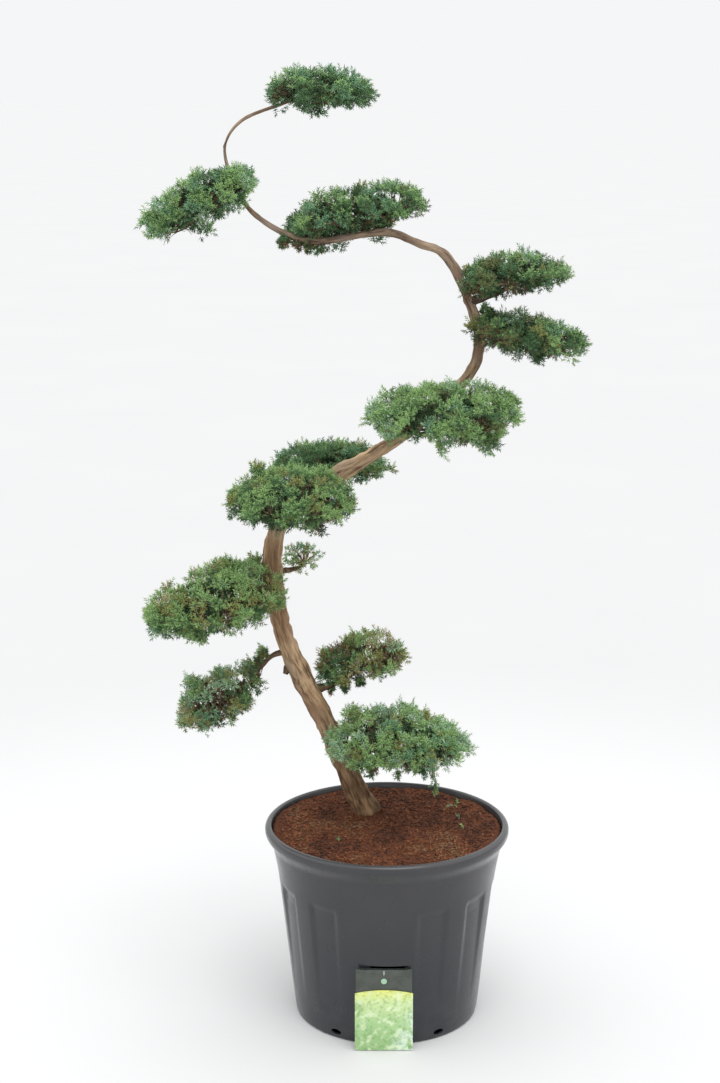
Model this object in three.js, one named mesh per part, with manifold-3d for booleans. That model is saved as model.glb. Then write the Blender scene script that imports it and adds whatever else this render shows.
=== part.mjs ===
// A juniper trained as a tall bonsai: a bent trunk, short boughs and clipped pads of foliage, in a round pot.
// Millimetres, +Z up. The origin is the middle of the pot's flat underside, and the front looks along -Y.
import * as THREE from "three";
import { mergeVertices } from "three/addons/utils/BufferGeometryUtils.js";
import Module from "manifold-3d";

const wasm = await Module();
wasm.setup();

// Driving dimensions: the gap between neighbouring pieces
const CLEARANCE = 0.3;

// Driving dimensions: the pot, its soil and its label
const POT_HEIGHT = 477;
const POT_RIM_RADIUS = 295;
const POT_NECK_RADIUS = 272;
const POT_BASE_RADIUS = 222;
const POT_WALL = 6;
const POT_FLOOR = 6;
const POT_CORNER_RADIUS = 8;
const RIM_BEAD_RADIUS = 8;
const RIM_HEIGHT = 45;
const RIM_LIP = 2;
const NECK_DROP = 8;
const POT_SEGMENTS = 60;
const PANEL_COUNT = 12;
const PANEL_WIDTH_DEG = 15.5;
const PANEL_TURN_DEG = -6;
const PANEL_PLAIN_DEG = -96;
const PANEL_DEPTH = 4;
const PANEL_TOP = 335;
const PANEL_BOTTOM = 60;
const PANEL_EDGE = 12;
const GROUND = 466;
const SOIL_GAP = 1.3;
const LABEL_X = -9;
const LABEL_SLOT = { foot: 204, top: 212, width: 112, depth: 10 };
const LABEL_STRIP = { width: 132, thick: 1.2, foot: 120, tongue: 3 };
const LABEL_CARD = { width: 136, thick: 1.2, foot: 2, top: 154, crown: 8 };

// Driving dimensions: the trunk's axis from the soil to the tip, as x, y, z and radius at each station
const TRUNK = [
  [-47, 98, 460, 29],
  [-146, 92, 697, 24],
  [-213, 85, 834, 23.5],
  [-254, 78, 942, 21],
  [-274, 66, 1069, 23.5],
  [-267, 56, 1177, 21.5],
  [-216, 48, 1263, 21.5],
  [-20, 42, 1382, 17.5],
  [157, 50, 1525, 14.5],
  [205, 42, 1592, 13],
  [210, 34, 1655, 12.5],
  [190, 28, 1725, 12],
  [127, 20, 1841, 10.5],
  [70, 16, 1866, 9.5],
  [-1, 10, 1892, 8.5],
  [-172, 0, 1872, 8.5],
  [-246, 2, 1895, 7],
  [-324, 15, 1953, 6],
  [-371, 40, 2060, 4.9],
  [-367, 40, 2098, 4.7],
  [-333, 35, 2140, 4.5],
  [-222, 20, 2184, 3.9],
];
// Each stretch of the trunk runs between two stations, and the splits lie at the bends.
const TRUNK_STRETCHES = [
  ["trunk_foot", 0, 5],
  ["trunk_shoulder", 5, 8],
  ["trunk_elbow", 8, 12],
  ["trunk_bridge", 12, 17],
  ["trunk_crook", 17, 19],
  ["trunk_tip", 19, 21],
];
const ROOT_FLARE = 7;
const ROOT_FLARE_HEIGHT = 70;
const STUB = [
  [-226, 86, 862, 11],
  [-240, 83, 842, 9.5],
  [-246, 81, 826, 6.5],
];

// Driving dimensions: the boughs, each from the trunk's axis to where its pad begins
const BOUGHS = {
  bottom_right: [[-119, 94, 630, 12], [-76, 70, 646, 10], [-32, 44, 656, 8]],
  low_right: [[-188, 88, 783, 10], [-145, 106, 788, 8.5], [-106, 117, 800, 7]],
  low_left: [[-229, 84, 884, 7], [-276, 80, 873, 5.5], [-308, 74, 842, 4.5]],
  left: [[-273, 68, 1050, 13], [-300, 22, 1046, 11], [-334, -8, 1040, 9]],
  middle_back: [[-117, 43, 1325, 11], [-124, 82, 1322, 9.5], [-132, 112, 1320, 8]],
  right_lower: [[207, 32, 1676, 8], [238, 27, 1668, 7], [262, 24, 1657, 6]],
  right_upper: [[190, 27, 1732, 8], [222, 25, 1744, 7], [250, 24, 1752, 6]],
};

// Driving dimensions: the pads of foliage, with length, depth and thickness, and the slope up to the right.
// A pad's stem grows from the tip of the bough of its name, or from the trunk where a station of it is given.
const PADS = {
  bottom_right: { centre: [28, 20, 671], size: [356, 285, 178], slope: -2 },
  low_right: { centre: [-53, 128, 849], size: [258, 200, 150], slope: 14 },
  low_left: { centre: [-399, 62, 773], size: [254, 190, 146], slope: 25 },
  left: { centre: [-402, -42, 1035], size: [362, 250, 190], slope: 17 },
  middle_left: { centre: [-224, -78, 1284], size: [302, 262, 178], slope: 0, station: 6 },
  middle_back: { centre: [-138, 192, 1325], size: [304, 240, 122], slope: 1 },
  middle_right: { centre: [124, -62, 1476], size: [370, 290, 176], slope: 2, station: 7.55 },
  right_lower: { centre: [321, 20, 1655], size: [290, 205, 122], slope: -10 },
  right_upper: { centre: [281, 20, 1795], size: [262, 205, 124], slope: 6 },
  upper_middle: { centre: [-80, 46, 1930], size: [346, 230, 138], slope: 12, station: 14.5 },
  upper_left: { centre: [-424, -40, 1961], size: [298, 200, 142], slope: 27, station: 17.4 },
  top: { centre: [-155, 20, 2206], size: [254, 215, 118], slope: -2, station: 21 },
  tuft_back: { centre: [-206, 140, 1096], size: [104, 100, 100], slope: 20, station: 4.15, sparse: true },
};

// Driving dimensions: how a pad is filled, with most of them in shares of the way out from its middle
const CORE_SHARE = 0.7;
const CORE_DETAIL = 1;
const CROWN_SHARE = 0.54;
const LUMP = 0.1;
const STEM_RADIUS = 9;
const STEM_SAG = 6;
const HEART_DEPTH = 0.25;
const FAN_TWIGS = 5;
const FAN_REACH = 0.92;
const FAN_DROOP = 0.5;
const TWIG_RADIUS = 4;
const FINE_TWIG_RADIUS = 2.4;
const UNDERSIDE = -0.78;
const LIMB_MARGIN = 7;

// Driving dimensions: the sprays of needles
const SPRAYS_LEAST = 12;
const SPRAY_AREA = 3900;
const SPARSE_SPRAYS = 7;
const SPRAY_REACH = [0.96, 1.04];
const SPRAY_SINK = 0.9;
const SPARSE_ROOT = 0.3;
const SPRAY_LEAN = 0.45;
const SPRAY_LIFT = 0.5;
const SPRAY_JITTER = 1.3;
const SPRAY_THICKNESS = 0.09;
// A spray seen flat: along and across, in shares of its length, round from its root.
const SPRAY_OUTLINE = [[0, 0], [0.6, -0.38], [0.7, -0.15], [1, 0], [0.7, 0.15], [0.6, 0.38]];
const SPRAY_MIDDLE = 0.48;

// Driving dimensions: facets of the limbs
const RINGS_PER_STATION = 3;
const SAMPLES_PER_STATION = 12;
const TRUNK_SIDES = 10;
const BOUGH_SIDES = 7;
const STEM_SIDES = 5;
const BARK_FLUTE = 0.06;

const GOLDEN_ANGLE = Math.PI * (3 - Math.sqrt(5));
const UP = new THREE.Vector3(0, 0, 1);
const DEPTH = new THREE.Vector3(0, 1, 0);
const FULL_SIZE = new THREE.Vector3(1, 1, 1);
const { lerp, degToRad, radToDeg } = THREE.MathUtils;
const material = (color, roughness) => new THREE.MeshStandardMaterial({ color, roughness, metalness: 0 });
const BARK = material(0x7a5a41, 0.9);
const FOLIAGE = material(0x3f6b4c, 0.85);
const POT_PLASTIC = material(0x3c3d40, 0.5);
const SOIL = material(0x5b3423, 1);
const STRIP_PLASTIC = material(0x50564f, 0.5);
const CARD_PRINT = material(0xb9d99a, 0.6);

// A repeatable run of numbers from 0 to 1.
function seeded(seed) {
  let state = seed;
  return () => {
    state = (state + 0x6d2b79f5) >>> 0;
    let mixed = Math.imul(state ^ (state >>> 15), 1 | state);
    mixed = (mixed + Math.imul(mixed ^ (mixed >>> 7), 61 | mixed)) ^ mixed;
    return ((mixed ^ (mixed >>> 14)) >>> 0) / 4294967296;
  };
}

// A closed geometry as a solid that can be joined and cut.
function solidOf(geometry) {
  const bare = geometry.clone();
  bare.deleteAttribute("normal");
  bare.deleteAttribute("uv");
  const merged = mergeVertices(bare, 1e-3);
  const mesh = new wasm.Mesh({
    numProp: 3,
    vertProperties: new Float32Array(merged.getAttribute("position").array),
    triVerts: new Uint32Array(merged.index.array),
  });
  return new wasm.Manifold(mesh);
}

// A solid back as a geometry, without loose scraps or sealed hollows.
function geometryOf(solid) {
  const whole = solid.decompose().reduce((best, body) => (body.volume() > best.volume() ? body : best));
  const mesh = whole.getMesh();
  const geometry = new THREE.BufferGeometry();
  geometry.setAttribute("position", new THREE.BufferAttribute(new Float32Array(mesh.vertProperties), 3));
  geometry.setIndex(new THREE.BufferAttribute(new Uint32Array(mesh.triVerts), 1));
  geometry.computeVertexNormals();
  return geometry;
}

function piece(name, geometry, finish) {
  const mesh = new THREE.Mesh(geometry, finish);
  mesh.name = name;
  return mesh;
}

// A limb's axis: a smooth curve through its stations that carries the radius along.
function axisOf(stations) {
  const points = stations.map(([x, y, z]) => new THREE.Vector3(x, y, z));
  const curve = new THREE.CatmullRomCurve3(points, false, "centripetal");
  const last = stations.length - 1;
  const chord = points[last].clone().sub(points[0]).normalize();
  const reference = Math.abs(chord.dot(DEPTH)) > 0.7 ? UP : DEPTH;
  const at = (station) => {
    const low = Math.min(Math.floor(station), last - 1);
    return {
      point: curve.getPoint(station / last),
      along: curve.getTangent(station / last),
      radius: lerp(stations[low][3], stations[low + 1][3], station - low),
    };
  };
  return { at, last, reference };
}

// How far the root flare widens the trunk at a height.
function rootFlare(z) {
  const rise = (z - GROUND) / ROOT_FLARE_HEIGHT;
  return rise < 1 ? ROOT_FLARE * (1 - Math.max(rise, 0)) ** 2 : 0;
}

// A tapering limb between two stations of its axis: a cylinder bent along it, with closed ends.
// grow fattens it all round, and trim shortens its far end.
function limbGeometry(axis, shape) {
  const { from = 0, to = axis.last, sides = BOUGH_SIDES, grow = 0, trim = 0, flatFoot = false } = shape;
  const steps = Math.max(2, Math.round((to - from) * RINGS_PER_STATION));
  const geometry = new THREE.CylinderGeometry(1, 1, 1, sides, steps);
  const place = geometry.getAttribute("position");
  const corner = new THREE.Vector3();
  for (let i = 0; i < place.count; i += 1) {
    corner.fromBufferAttribute(place, i);
    const share = corner.y + 0.5;
    const { point, along, radius } = axis.at(lerp(from, to, share));
    const angle = Math.atan2(corner.z, corner.x);
    const flute = 1 + BARK_FLUTE * Math.cos(3 * angle);
    const flare = flatFoot ? rootFlare(point.z) : 0;
    const reach = Math.hypot(corner.x, corner.z) * ((radius + flare) * flute + grow);
    const across = new THREE.Vector3().crossVectors(axis.reference, along).normalize();
    const over = new THREE.Vector3().crossVectors(across, along);
    point.addScaledVector(across, reach * Math.cos(angle)).addScaledVector(over, reach * Math.sin(angle));
    if (share === 0) point.addScaledVector(along, -grow);
    if (share === 1) point.addScaledVector(along, grow - trim);
    if (flatFoot && share === 0) {
      point.addScaledVector(along, (GROUND + CLEARANCE - grow - point.z) / along.z);
    }
    place.setXYZ(i, point.x, point.y, point.z);
  }
  return geometry;
}

// One spray of needles: a toothed blade with a ridge on both faces, from its root to its tip.
function sprayGeometry(root, tip, facing) {
  const along = tip.clone().sub(root);
  const length = along.length();
  along.normalize();
  const across = new THREE.Vector3().crossVectors(facing, along).normalize();
  const over = new THREE.Vector3().crossVectors(along, across);
  const geometry = new THREE.ConeGeometry(1, 1, SPRAY_OUTLINE.length);
  const place = geometry.getAttribute("position");
  const corner = new THREE.Vector3();
  for (let i = 0; i < place.count; i += 1) {
    corner.fromBufferAttribute(place, i);
    const onRidge = Math.hypot(corner.x, corner.z) < 0.5;
    const turn = (Math.atan2(corner.x, corner.z) / (2 * Math.PI) + 1) * SPRAY_OUTLINE.length;
    const [u, v] = onRidge ? [SPRAY_MIDDLE, 0] : SPRAY_OUTLINE[Math.round(turn) % SPRAY_OUTLINE.length];
    const lift = onRidge ? Math.sign(corner.y) * SPRAY_THICKNESS * 0.5 : 0;
    const point = root.clone().addScaledVector(along, u * length);
    point.addScaledVector(across, v * length).addScaledVector(over, lift * length);
    place.setXYZ(i, point.x, point.y, point.z);
  }
  return geometry;
}

// A thin three-sided twig that tapers to a point.
function twigGeometry(root, tip, radius) {
  const along = tip.clone().sub(root);
  const geometry = new THREE.ConeGeometry(radius, along.length(), 3);
  const turn = new THREE.Quaternion().setFromUnitVectors(DEPTH, along.clone().normalize());
  const middle = root.clone().addScaledVector(along, 0.5);
  return geometry.applyMatrix4(new THREE.Matrix4().compose(middle, turn, FULL_SIZE));
}

// The space that a pad keeps to: a domed, lumpy cushion, flatter below than above.
function spaceOf(pad, seed) {
  const random = seeded(seed);
  const [length, depth, thickness] = pad.size;
  const phases = [0, 1, 2].map(() => random() * 2 * Math.PI);
  const turn = new THREE.Quaternion().setFromAxisAngle(DEPTH, -degToRad(pad.slope));
  const frame = new THREE.Matrix4().compose(new THREE.Vector3(...pad.centre), turn, FULL_SIZE);
  const back = frame.clone().invert();
  const height = (w) => thickness * (w > 0 ? CROWN_SHARE : 1 - CROWN_SHARE);
  const lump = (unit) => {
    const round = Math.atan2(unit.y, unit.x);
    const waves = [3 * round, 5 * round, 4 * unit.z].map((angle, k) => Math.sin(angle + phases[k]));
    return 1 + (LUMP / 3) * (waves[0] + waves[1] + waves[2]);
  };
  // The point of the space in a direction, at a share of the way out from the middle.
  const pointAt = (unit, share) => {
    const scale = share * lump(unit);
    const local = [unit.x * length * 0.5, unit.y * depth * 0.5, unit.z * height(unit.z)];
    return new THREE.Vector3(...local).multiplyScalar(scale).applyMatrix4(frame);
  };
  const holds = (point) => {
    const local = point.clone().applyMatrix4(back);
    const unit = new THREE.Vector3((2 * local.x) / length, (2 * local.y) / depth, local.z / height(local.z));
    const distance = unit.length();
    return distance < lump(unit.normalize());
  };
  return { pointAt, holds, random };
}

// The dense heart of a clipped pad.
function coreGeometry(space) {
  const geometry = new THREE.IcosahedronGeometry(1, CORE_DETAIL);
  const place = geometry.getAttribute("position");
  const unit = new THREE.Vector3();
  for (let i = 0; i < place.count; i += 1) {
    unit.fromBufferAttribute(place, i).normalize();
    const point = space.pointAt(unit, CORE_SHARE);
    place.setXYZ(i, point.x, point.y, point.z);
  }
  return geometry;
}

function sprayCount({ size: [length, depth], sparse }) {
  return sparse ? SPARSE_SPRAYS : SPRAYS_LEAST + Math.round((length * depth) / SPRAY_AREA);
}

// Even directions over a pad by the golden angle, without its bare underside.
function sprayDirections(count, random) {
  return Array.from({ length: count }, (_, k) => {
    const w = lerp(1, UNDERSIDE, (k + 0.5) / count);
    const round = k * GOLDEN_ANGLE + (random() - 0.5) * 0.5;
    const flat = Math.sqrt(1 - w * w);
    return new THREE.Vector3(flat * Math.cos(round), flat * Math.sin(round), w);
  });
}

// A pad's own stem: it leaves its limb, sags a little and ends in the pad's heart.
function stemGeometry(start, heart) {
  const middle = start.point.clone().lerp(heart, 0.5).addScaledVector(UP, -STEM_SAG);
  const thick = Math.min(start.radius, STEM_RADIUS);
  const stations = [[start.point, 1], [middle, 0.8], [heart, 0.6]];
  const axis = axisOf(stations.map(([point, share]) => [...point.toArray(), thick * share]));
  return limbGeometry(axis, { sides: STEM_SIDES });
}

// One pad: a stem from its limb, a fan of twigs, sprays of needles and, where the pad is dense, its core.
function padGeometry(pad, seed, start, limbs, others) {
  const space = spaceOf(pad, seed);
  const { random } = space;
  const heart = space.pointAt(new THREE.Vector3(0, 0, -1), HEART_DEPTH);
  let solid = solidOf(stemGeometry(start, heart));
  if (!pad.sparse) solid = solid.add(solidOf(coreGeometry(space)));

  const samples = limbs.flatMap((limb) => limb.samples);
  const clear = (point) =>
    samples.every((sample) => sample.point.distanceTo(point) > sample.radius + LIMB_MARGIN) &&
    others.every((other) => !other.holds(point));
  const fits = (root, tip) => [0.5, 0.75, 1].every((share) => clear(root.clone().lerp(tip, share)));

  for (let k = 0; k < FAN_TWIGS; k += 1) {
    const round = ((k + random() * 0.5) / FAN_TWIGS) * 2 * Math.PI;
    const unit = new THREE.Vector3(Math.cos(round), Math.sin(round), -FAN_DROOP).normalize();
    const tip = space.pointAt(unit, FAN_REACH);
    if (fits(heart, tip)) solid = solid.add(solidOf(twigGeometry(heart, tip, TWIG_RADIUS)));
  }
  const jitter = () => (random() - 0.5) * SPRAY_JITTER;
  const rootShare = pad.sparse ? SPARSE_ROOT : CORE_SHARE * SPRAY_SINK;
  for (const unit of sprayDirections(sprayCount(pad), random)) {
    const tip = space.pointAt(unit, lerp(...SPRAY_REACH, random()));
    const lean = new THREE.Vector3(unit.x + jitter(), unit.y + jitter(), 0).normalize();
    const rootUnit = unit.clone().addScaledVector(lean, -SPRAY_LEAN).normalize();
    const root = space.pointAt(rootUnit, rootShare);
    const facing = unit.clone().add(new THREE.Vector3(jitter(), jitter(), SPRAY_LIFT + jitter()));
    if (!fits(root, tip)) continue;
    if (pad.sparse) solid = solid.add(solidOf(twigGeometry(heart, tip, FINE_TWIG_RADIUS)));
    solid = solid.add(solidOf(sprayGeometry(root, tip, facing)));
  }
  for (const envelope of limbs.flatMap((limb) => limb.envelopes)) solid = solid.subtract(envelope);
  return geometryOf(solid);
}

// A limb with its axis, sample points along it and the fattened envelopes that its neighbours keep clear of.
function limbOf(axis, stretches, sides, flatFoot) {
  const count = axis.last * SAMPLES_PER_STATION;
  const samples = Array.from({ length: count + 1 }, (_, k) => axis.at((k / count) * axis.last));
  const envelopes = stretches.map(([from, to]) =>
    solidOf(limbGeometry(axis, { from, to, sides, grow: CLEARANCE, flatFoot: flatFoot && from === 0 })),
  );
  return { axis, samples, envelopes };
}

// The trunk in its stretches, with the pruned stub fused to the lowest one.
function trunkPieces(trunk) {
  return TRUNK_STRETCHES.map(([name, from, to]) => {
    const shape = { from, to, sides: TRUNK_SIDES, trim: CLEARANCE, flatFoot: from === 0 };
    let solid = solidOf(limbGeometry(trunk.axis, shape));
    if (from === 0) solid = solid.add(solidOf(limbGeometry(axisOf(STUB), {})));
    return piece(name, geometryOf(solid), BARK);
  });
}

function boughGeometry(bough, trunk) {
  let solid = solidOf(limbGeometry(bough.axis, {}));
  for (const envelope of trunk.envelopes) solid = solid.subtract(envelope);
  return geometryOf(solid);
}

// The outer radius of the pot's wall at a height, below the rim.
const wallRadius = (z) => lerp(POT_BASE_RADIUS, POT_NECK_RADIUS, z / (POT_HEIGHT - RIM_HEIGHT));
const innerRadius = (z) => wallRadius(z) - POT_WALL;

// The pot's half section: flat underside, rounded corner, panelled wall, rolled rim and the inside.
function potProfile() {
  const neck = POT_HEIGHT - RIM_HEIGHT;
  const corner = POT_BASE_RADIUS - POT_CORNER_RADIUS;
  const bead = RIM_BEAD_RADIUS;
  const section = new THREE.Path();
  section.moveTo(0, 0);
  section.lineTo(corner, 0);
  section.absarc(corner, POT_CORNER_RADIUS, POT_CORNER_RADIUS, -Math.PI / 2, 0);
  section.lineTo(wallRadius(PANEL_BOTTOM), PANEL_BOTTOM);
  section.lineTo(wallRadius(PANEL_TOP), PANEL_TOP);
  section.lineTo(wallRadius(PANEL_TOP + PANEL_EDGE), PANEL_TOP + PANEL_EDGE);
  section.lineTo(POT_NECK_RADIUS, neck - NECK_DROP);
  section.lineTo(POT_RIM_RADIUS - RIM_LIP, neck);
  section.absarc(POT_RIM_RADIUS - bead, POT_HEIGHT - bead, bead, 0, Math.PI / 2);
  section.lineTo(POT_RIM_RADIUS - 2 * bead, POT_HEIGHT);
  section.lineTo(innerRadius(neck), neck - NECK_DROP);
  section.lineTo(innerRadius(0), POT_FLOOR);
  section.lineTo(0, POT_FLOOR);
  return section.getPoints(1);
}

// A full turn of a half section about the Z axis, from the front round.
function turned(profile, segments) {
  return new THREE.LatheGeometry(profile, segments).rotateX(Math.PI / 2);
}

// How far round the pot a point lies from the middle of the nearest panel, in degrees.
function panelOffset(x, y) {
  const pitch = 360 / PANEL_COUNT;
  const turn = radToDeg(Math.atan2(y, x)) - PANEL_TURN_DEG;
  return Math.abs(turn - pitch * Math.round(turn / pitch));
}

// The wall is plain behind the label, so the panel there is missing.
function onPanel(x, y) {
  const behindLabel = Math.abs(radToDeg(Math.atan2(y, x)) - PANEL_PLAIN_DEG) < PANEL_WIDTH_DEG;
  return !behindLabel && panelOffset(x, y) < PANEL_WIDTH_DEG / 2;
}

// The pot, with its wall pressed in at the tops of the panels and a slot through it for the label.
function potGeometry() {
  const geometry = turned(potProfile(), POT_SEGMENTS);
  const place = geometry.getAttribute("position");
  for (let i = 0; i < place.count; i += 1) {
    const [x, y, z] = [place.getX(i), place.getY(i), place.getZ(i)];
    const radius = Math.hypot(x, y);
    const atPanelTop = Math.abs(radius - wallRadius(PANEL_TOP)) < 1 && Math.abs(z - PANEL_TOP) < 1;
    if (atPanelTop && onPanel(x, y)) {
      const share = 1 - PANEL_DEPTH / radius;
      place.setXYZ(i, x * share, y * share, z);
    }
  }
  const { foot, top, width, depth } = LABEL_SLOT;
  const slot = new THREE.BoxGeometry(width, 2 * depth, top - foot);
  slot.translate(LABEL_X, -wallRadius(top), (top + foot) / 2);
  return geometryOf(solidOf(geometry).subtract(solidOf(slot)));
}

function soilGeometry() {
  const neck = POT_HEIGHT - RIM_HEIGHT - NECK_DROP;
  const foot = POT_FLOOR + CLEARANCE;
  const rise = [foot, neck, GROUND].map((z) => new THREE.Vector2(innerRadius(z) - SOIL_GAP, z));
  return turned([new THREE.Vector2(0, foot), ...rise, new THREE.Vector2(0, GROUND)], POT_SEGMENTS);
}

// The label's strip hangs on a tongue that is tucked into the pot's slot.
function stripGeometry(front) {
  const { width, thick, foot, tongue } = LABEL_STRIP;
  const top = LABEL_SLOT.foot + CLEARANCE + thick;
  const strip = new THREE.BoxGeometry(width, thick, top - foot);
  strip.translate(LABEL_X, front - thick / 2, (top + foot) / 2);
  const hook = new THREE.BoxGeometry(LABEL_SLOT.width - 2 * thick, tongue + thick, thick);
  hook.translate(LABEL_X, front + (tongue - thick) / 2, top - thick / 2);
  return geometryOf(solidOf(strip).add(solidOf(hook)));
}

// The label's card has a crowned top edge and hangs in front of the strip.
function cardGeometry(front) {
  const { width, thick, foot, top, crown } = LABEL_CARD;
  const half = width / 2;
  const outline = new THREE.Shape();
  outline.moveTo(-half, foot);
  outline.lineTo(half, foot);
  outline.lineTo(half, top - crown);
  outline.quadraticCurveTo(0, top + crown, -half, top - crown);
  const card = new THREE.ExtrudeGeometry(outline, { depth: thick, bevelEnabled: false, curveSegments: 6 });
  return card.rotateX(Math.PI / 2).translate(LABEL_X, front, 0);
}

const tree = new THREE.Group();
tree.name = "juniper_bonsai";

const trunk = limbOf(axisOf(TRUNK), TRUNK_STRETCHES.map(([, from, to]) => [from, to]), TRUNK_SIDES, true);
tree.add(...trunkPieces(trunk));

const boughs = {};
for (const [name, stations] of Object.entries(BOUGHS)) {
  const axis = axisOf(stations);
  boughs[name] = limbOf(axis, [[0, axis.last]], BOUGH_SIDES, false);
  tree.add(piece(`bough_${name}`, boughGeometry(boughs[name], trunk), BARK));
}

const limbs = [trunk, ...Object.values(boughs)];
const spaces = Object.values(PADS).map((pad, index) => spaceOf(pad, index + 1));
Object.entries(PADS).forEach(([name, pad], index) => {
  const others = spaces.filter((_, other) => other !== index);
  const start = pad.station ? trunk.axis.at(pad.station) : boughs[name].axis.at(boughs[name].axis.last);
  const geometry = padGeometry(pad, index + 1, start, limbs, others);
  tree.add(piece(pad.sparse ? name : `pad_${name}`, geometry, FOLIAGE));
});

tree.add(piece("pot", potGeometry(), POT_PLASTIC));
tree.add(piece("soil", soilGeometry(), SOIL));
const stripFront = -wallRadius(LABEL_SLOT.top) - CLEARANCE;
tree.add(piece("label_strip", stripGeometry(stripFront), STRIP_PLASTIC));
tree.add(piece("label_card", cardGeometry(stripFront - LABEL_STRIP.thick - CLEARANCE), CARD_PRINT));

export default tree;
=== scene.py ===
import itertools
import math

import bmesh
import bpy
import numpy as np
from mathutils import Matrix, Vector


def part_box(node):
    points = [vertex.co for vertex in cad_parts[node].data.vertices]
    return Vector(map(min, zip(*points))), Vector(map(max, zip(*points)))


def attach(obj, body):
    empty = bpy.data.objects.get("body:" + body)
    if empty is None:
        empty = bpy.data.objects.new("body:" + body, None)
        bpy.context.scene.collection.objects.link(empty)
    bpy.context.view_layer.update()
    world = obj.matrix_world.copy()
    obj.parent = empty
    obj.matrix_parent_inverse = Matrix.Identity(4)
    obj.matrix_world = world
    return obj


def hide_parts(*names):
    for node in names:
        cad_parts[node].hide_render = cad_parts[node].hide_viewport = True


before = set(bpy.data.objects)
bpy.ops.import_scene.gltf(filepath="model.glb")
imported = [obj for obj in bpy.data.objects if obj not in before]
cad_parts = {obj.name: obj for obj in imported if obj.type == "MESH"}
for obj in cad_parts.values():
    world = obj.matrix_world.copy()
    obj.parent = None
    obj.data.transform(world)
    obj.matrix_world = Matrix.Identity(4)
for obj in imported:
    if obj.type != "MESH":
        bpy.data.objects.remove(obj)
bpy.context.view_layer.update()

# A juniper trained as a tall bonsai, in a black nursery pot: bark, pads of needles, pot, soil and label.
# Metres, +Z up. The origin is the middle of the pot's underside, and the front looks along -Y.
MM = 0.001
UP = np.array([0.0, 0.0, 1.0])
GOLDEN_ANGLE = math.pi * (3 - math.sqrt(5))
GOLDEN_STRAY = 0.3
MERGE_DISTANCE = 1e-6

# Camera, where the photograph was taken from
CAMERA_PLACE = (-0.065, -4.581, 2.210)
CAMERA_PITCH_DEG = 12.7486
CAMERA_LENS_MM = 66.48
CAMERA_SENSOR_MM = 36

# Studio light: an even pale surround, brighter by so much overhead and high at the sides, where it grows
# between two heights or shares of the way aside, and one broad light. The floor fades between two distances
# in metres.
SURROUND = 0.93
SURROUND_COLOUR = (0.985, 0.99, 1.0, 1)
SURROUND_TOP = 0.70
TOP_BETWEEN = (0.25, 0.9)
SURROUND_SIDES = 0.72
SIDES_BETWEEN = (0.2, 0.9)
SIDES_ABOVE = (0.12, 0.30)
KEY_LIGHT = {"way": (-0.12, 0.45, -1.0), "strength": 1.00, "softness_deg": 35}
FLOOR_SIZE = 300
FLOOR_NEAR = 0.61
FLOOR_FAR = 0.52
FLOOR_FADE = (0.9, 3.2)
FLOOR_PATCHES = (0.56, 0.56, 0.555)

# Pot, in mm, with its height and rim taken from the frame
POT_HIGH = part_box("pot")[1] / MM
POT_HEIGHT = POT_HIGH.z
RIM_RADIUS = POT_HIGH.x
NECK_RADIUS = 272
BASE_RADIUS = 222
POT_WALL = 6
CORNER_RADIUS = 8
RIM_HEIGHT = 45
RIM_BEAD = 8
RIM_OVERHANG = 20
ROLL_RADIUS = 11
INNER_RADIUS = RIM_RADIUS - 2 * RIM_BEAD
LIP_RADIUS = 5
LIP_DROP = 22
LIP_TAPER = 1.5
NECK_DROP = 8
FLARE_FOOT = 348
FLARE = 8
FLARE_PAST = 20
BEAD_FOOT = 426
BEAD_TOP = POT_HEIGHT - 2 * ROLL_RADIUS + 5
PANEL_COUNT = 12
PANEL_WIDTH_DEG = 15.5
PANEL_TURN_DEG = -6
PANEL_PLAIN_DEG = -96
PANEL_DEPTH = 6
PANEL_TOP = 335
PANEL_BOTTOM = 60
PANEL_EDGE = 9
PANEL_SIDE_DEG = 1.4
PANEL_NEAR = 0.5
WALL_ROW = 9
FLARE_ROWS = 24
POT_STEPS = 300
POT_SHARP_DEG = 50
DRAIN_TURNS_DEG = (-123, -57, 0, 57, 123, 180)
DRAIN = {"width": 28, "height": 14, "depth": 24, "z": 18}
DRAIN_SIDES = 24

# Soil, in mm, and in metres its crumbs (height, how many a metre), its bark chips and the sprays fallen on it
GROUND = 466
SOIL_GAP = 1.3
SOIL_INSET = 2
SOIL_DEPTH = 60
SOIL_MOUND = 4
SOIL_MOUND_WIDTH = 0.09
SOIL_SINK = 0.001
SOIL_CRUMBS = [(0.0030, 28), (0.0022, 75), (0.0012, 190)]
SOIL_CRUMB_SEED = 3
SOIL_RINGS = 56
SOIL_STEPS = 144
CHIP_COUNT = 3600
CHIP_SEED = 23
CHIP_LEAST = (0.004, 0.0024, 0.001)
CHIP_MOST = (0.012, 0.006, 0.0028)
CHIP_RAGGED = (0.55, 1.15)
CHIP_EDGE = 0.012
CHIP_TIP = 0.35
CHIP_SHARP_DEG = 30
CHIP_LIFT = 0.0008
CHIP_DRIFTS = [(1.4, (14, 14, 0), 8), (0.5, (40, 40, 0), 9)]
CHIP_STRAY = 0.40
CHIP_STEPS = (-0.25, 0.40, 1.15)
CHIP_TINTS = {
    "chip_dark": (0.072, 0.029, 0.017),
    "chip_red": (0.150, 0.053, 0.026),
    "chip_orange": (0.215, 0.080, 0.034),
    "chip_tan": (0.200, 0.112, 0.058),
}
FALLEN_SPRAYS = [(172, 147), (168, 140), (178, 152), (181, 52), (186, -26), (214, 205), (-120, -90)]
FALLEN_SEED = 77
FALLEN_LENGTH = (0.012, 0.020)
FALLEN_LIFT = 0.004
FALLEN_TILT = 0.08

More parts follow.
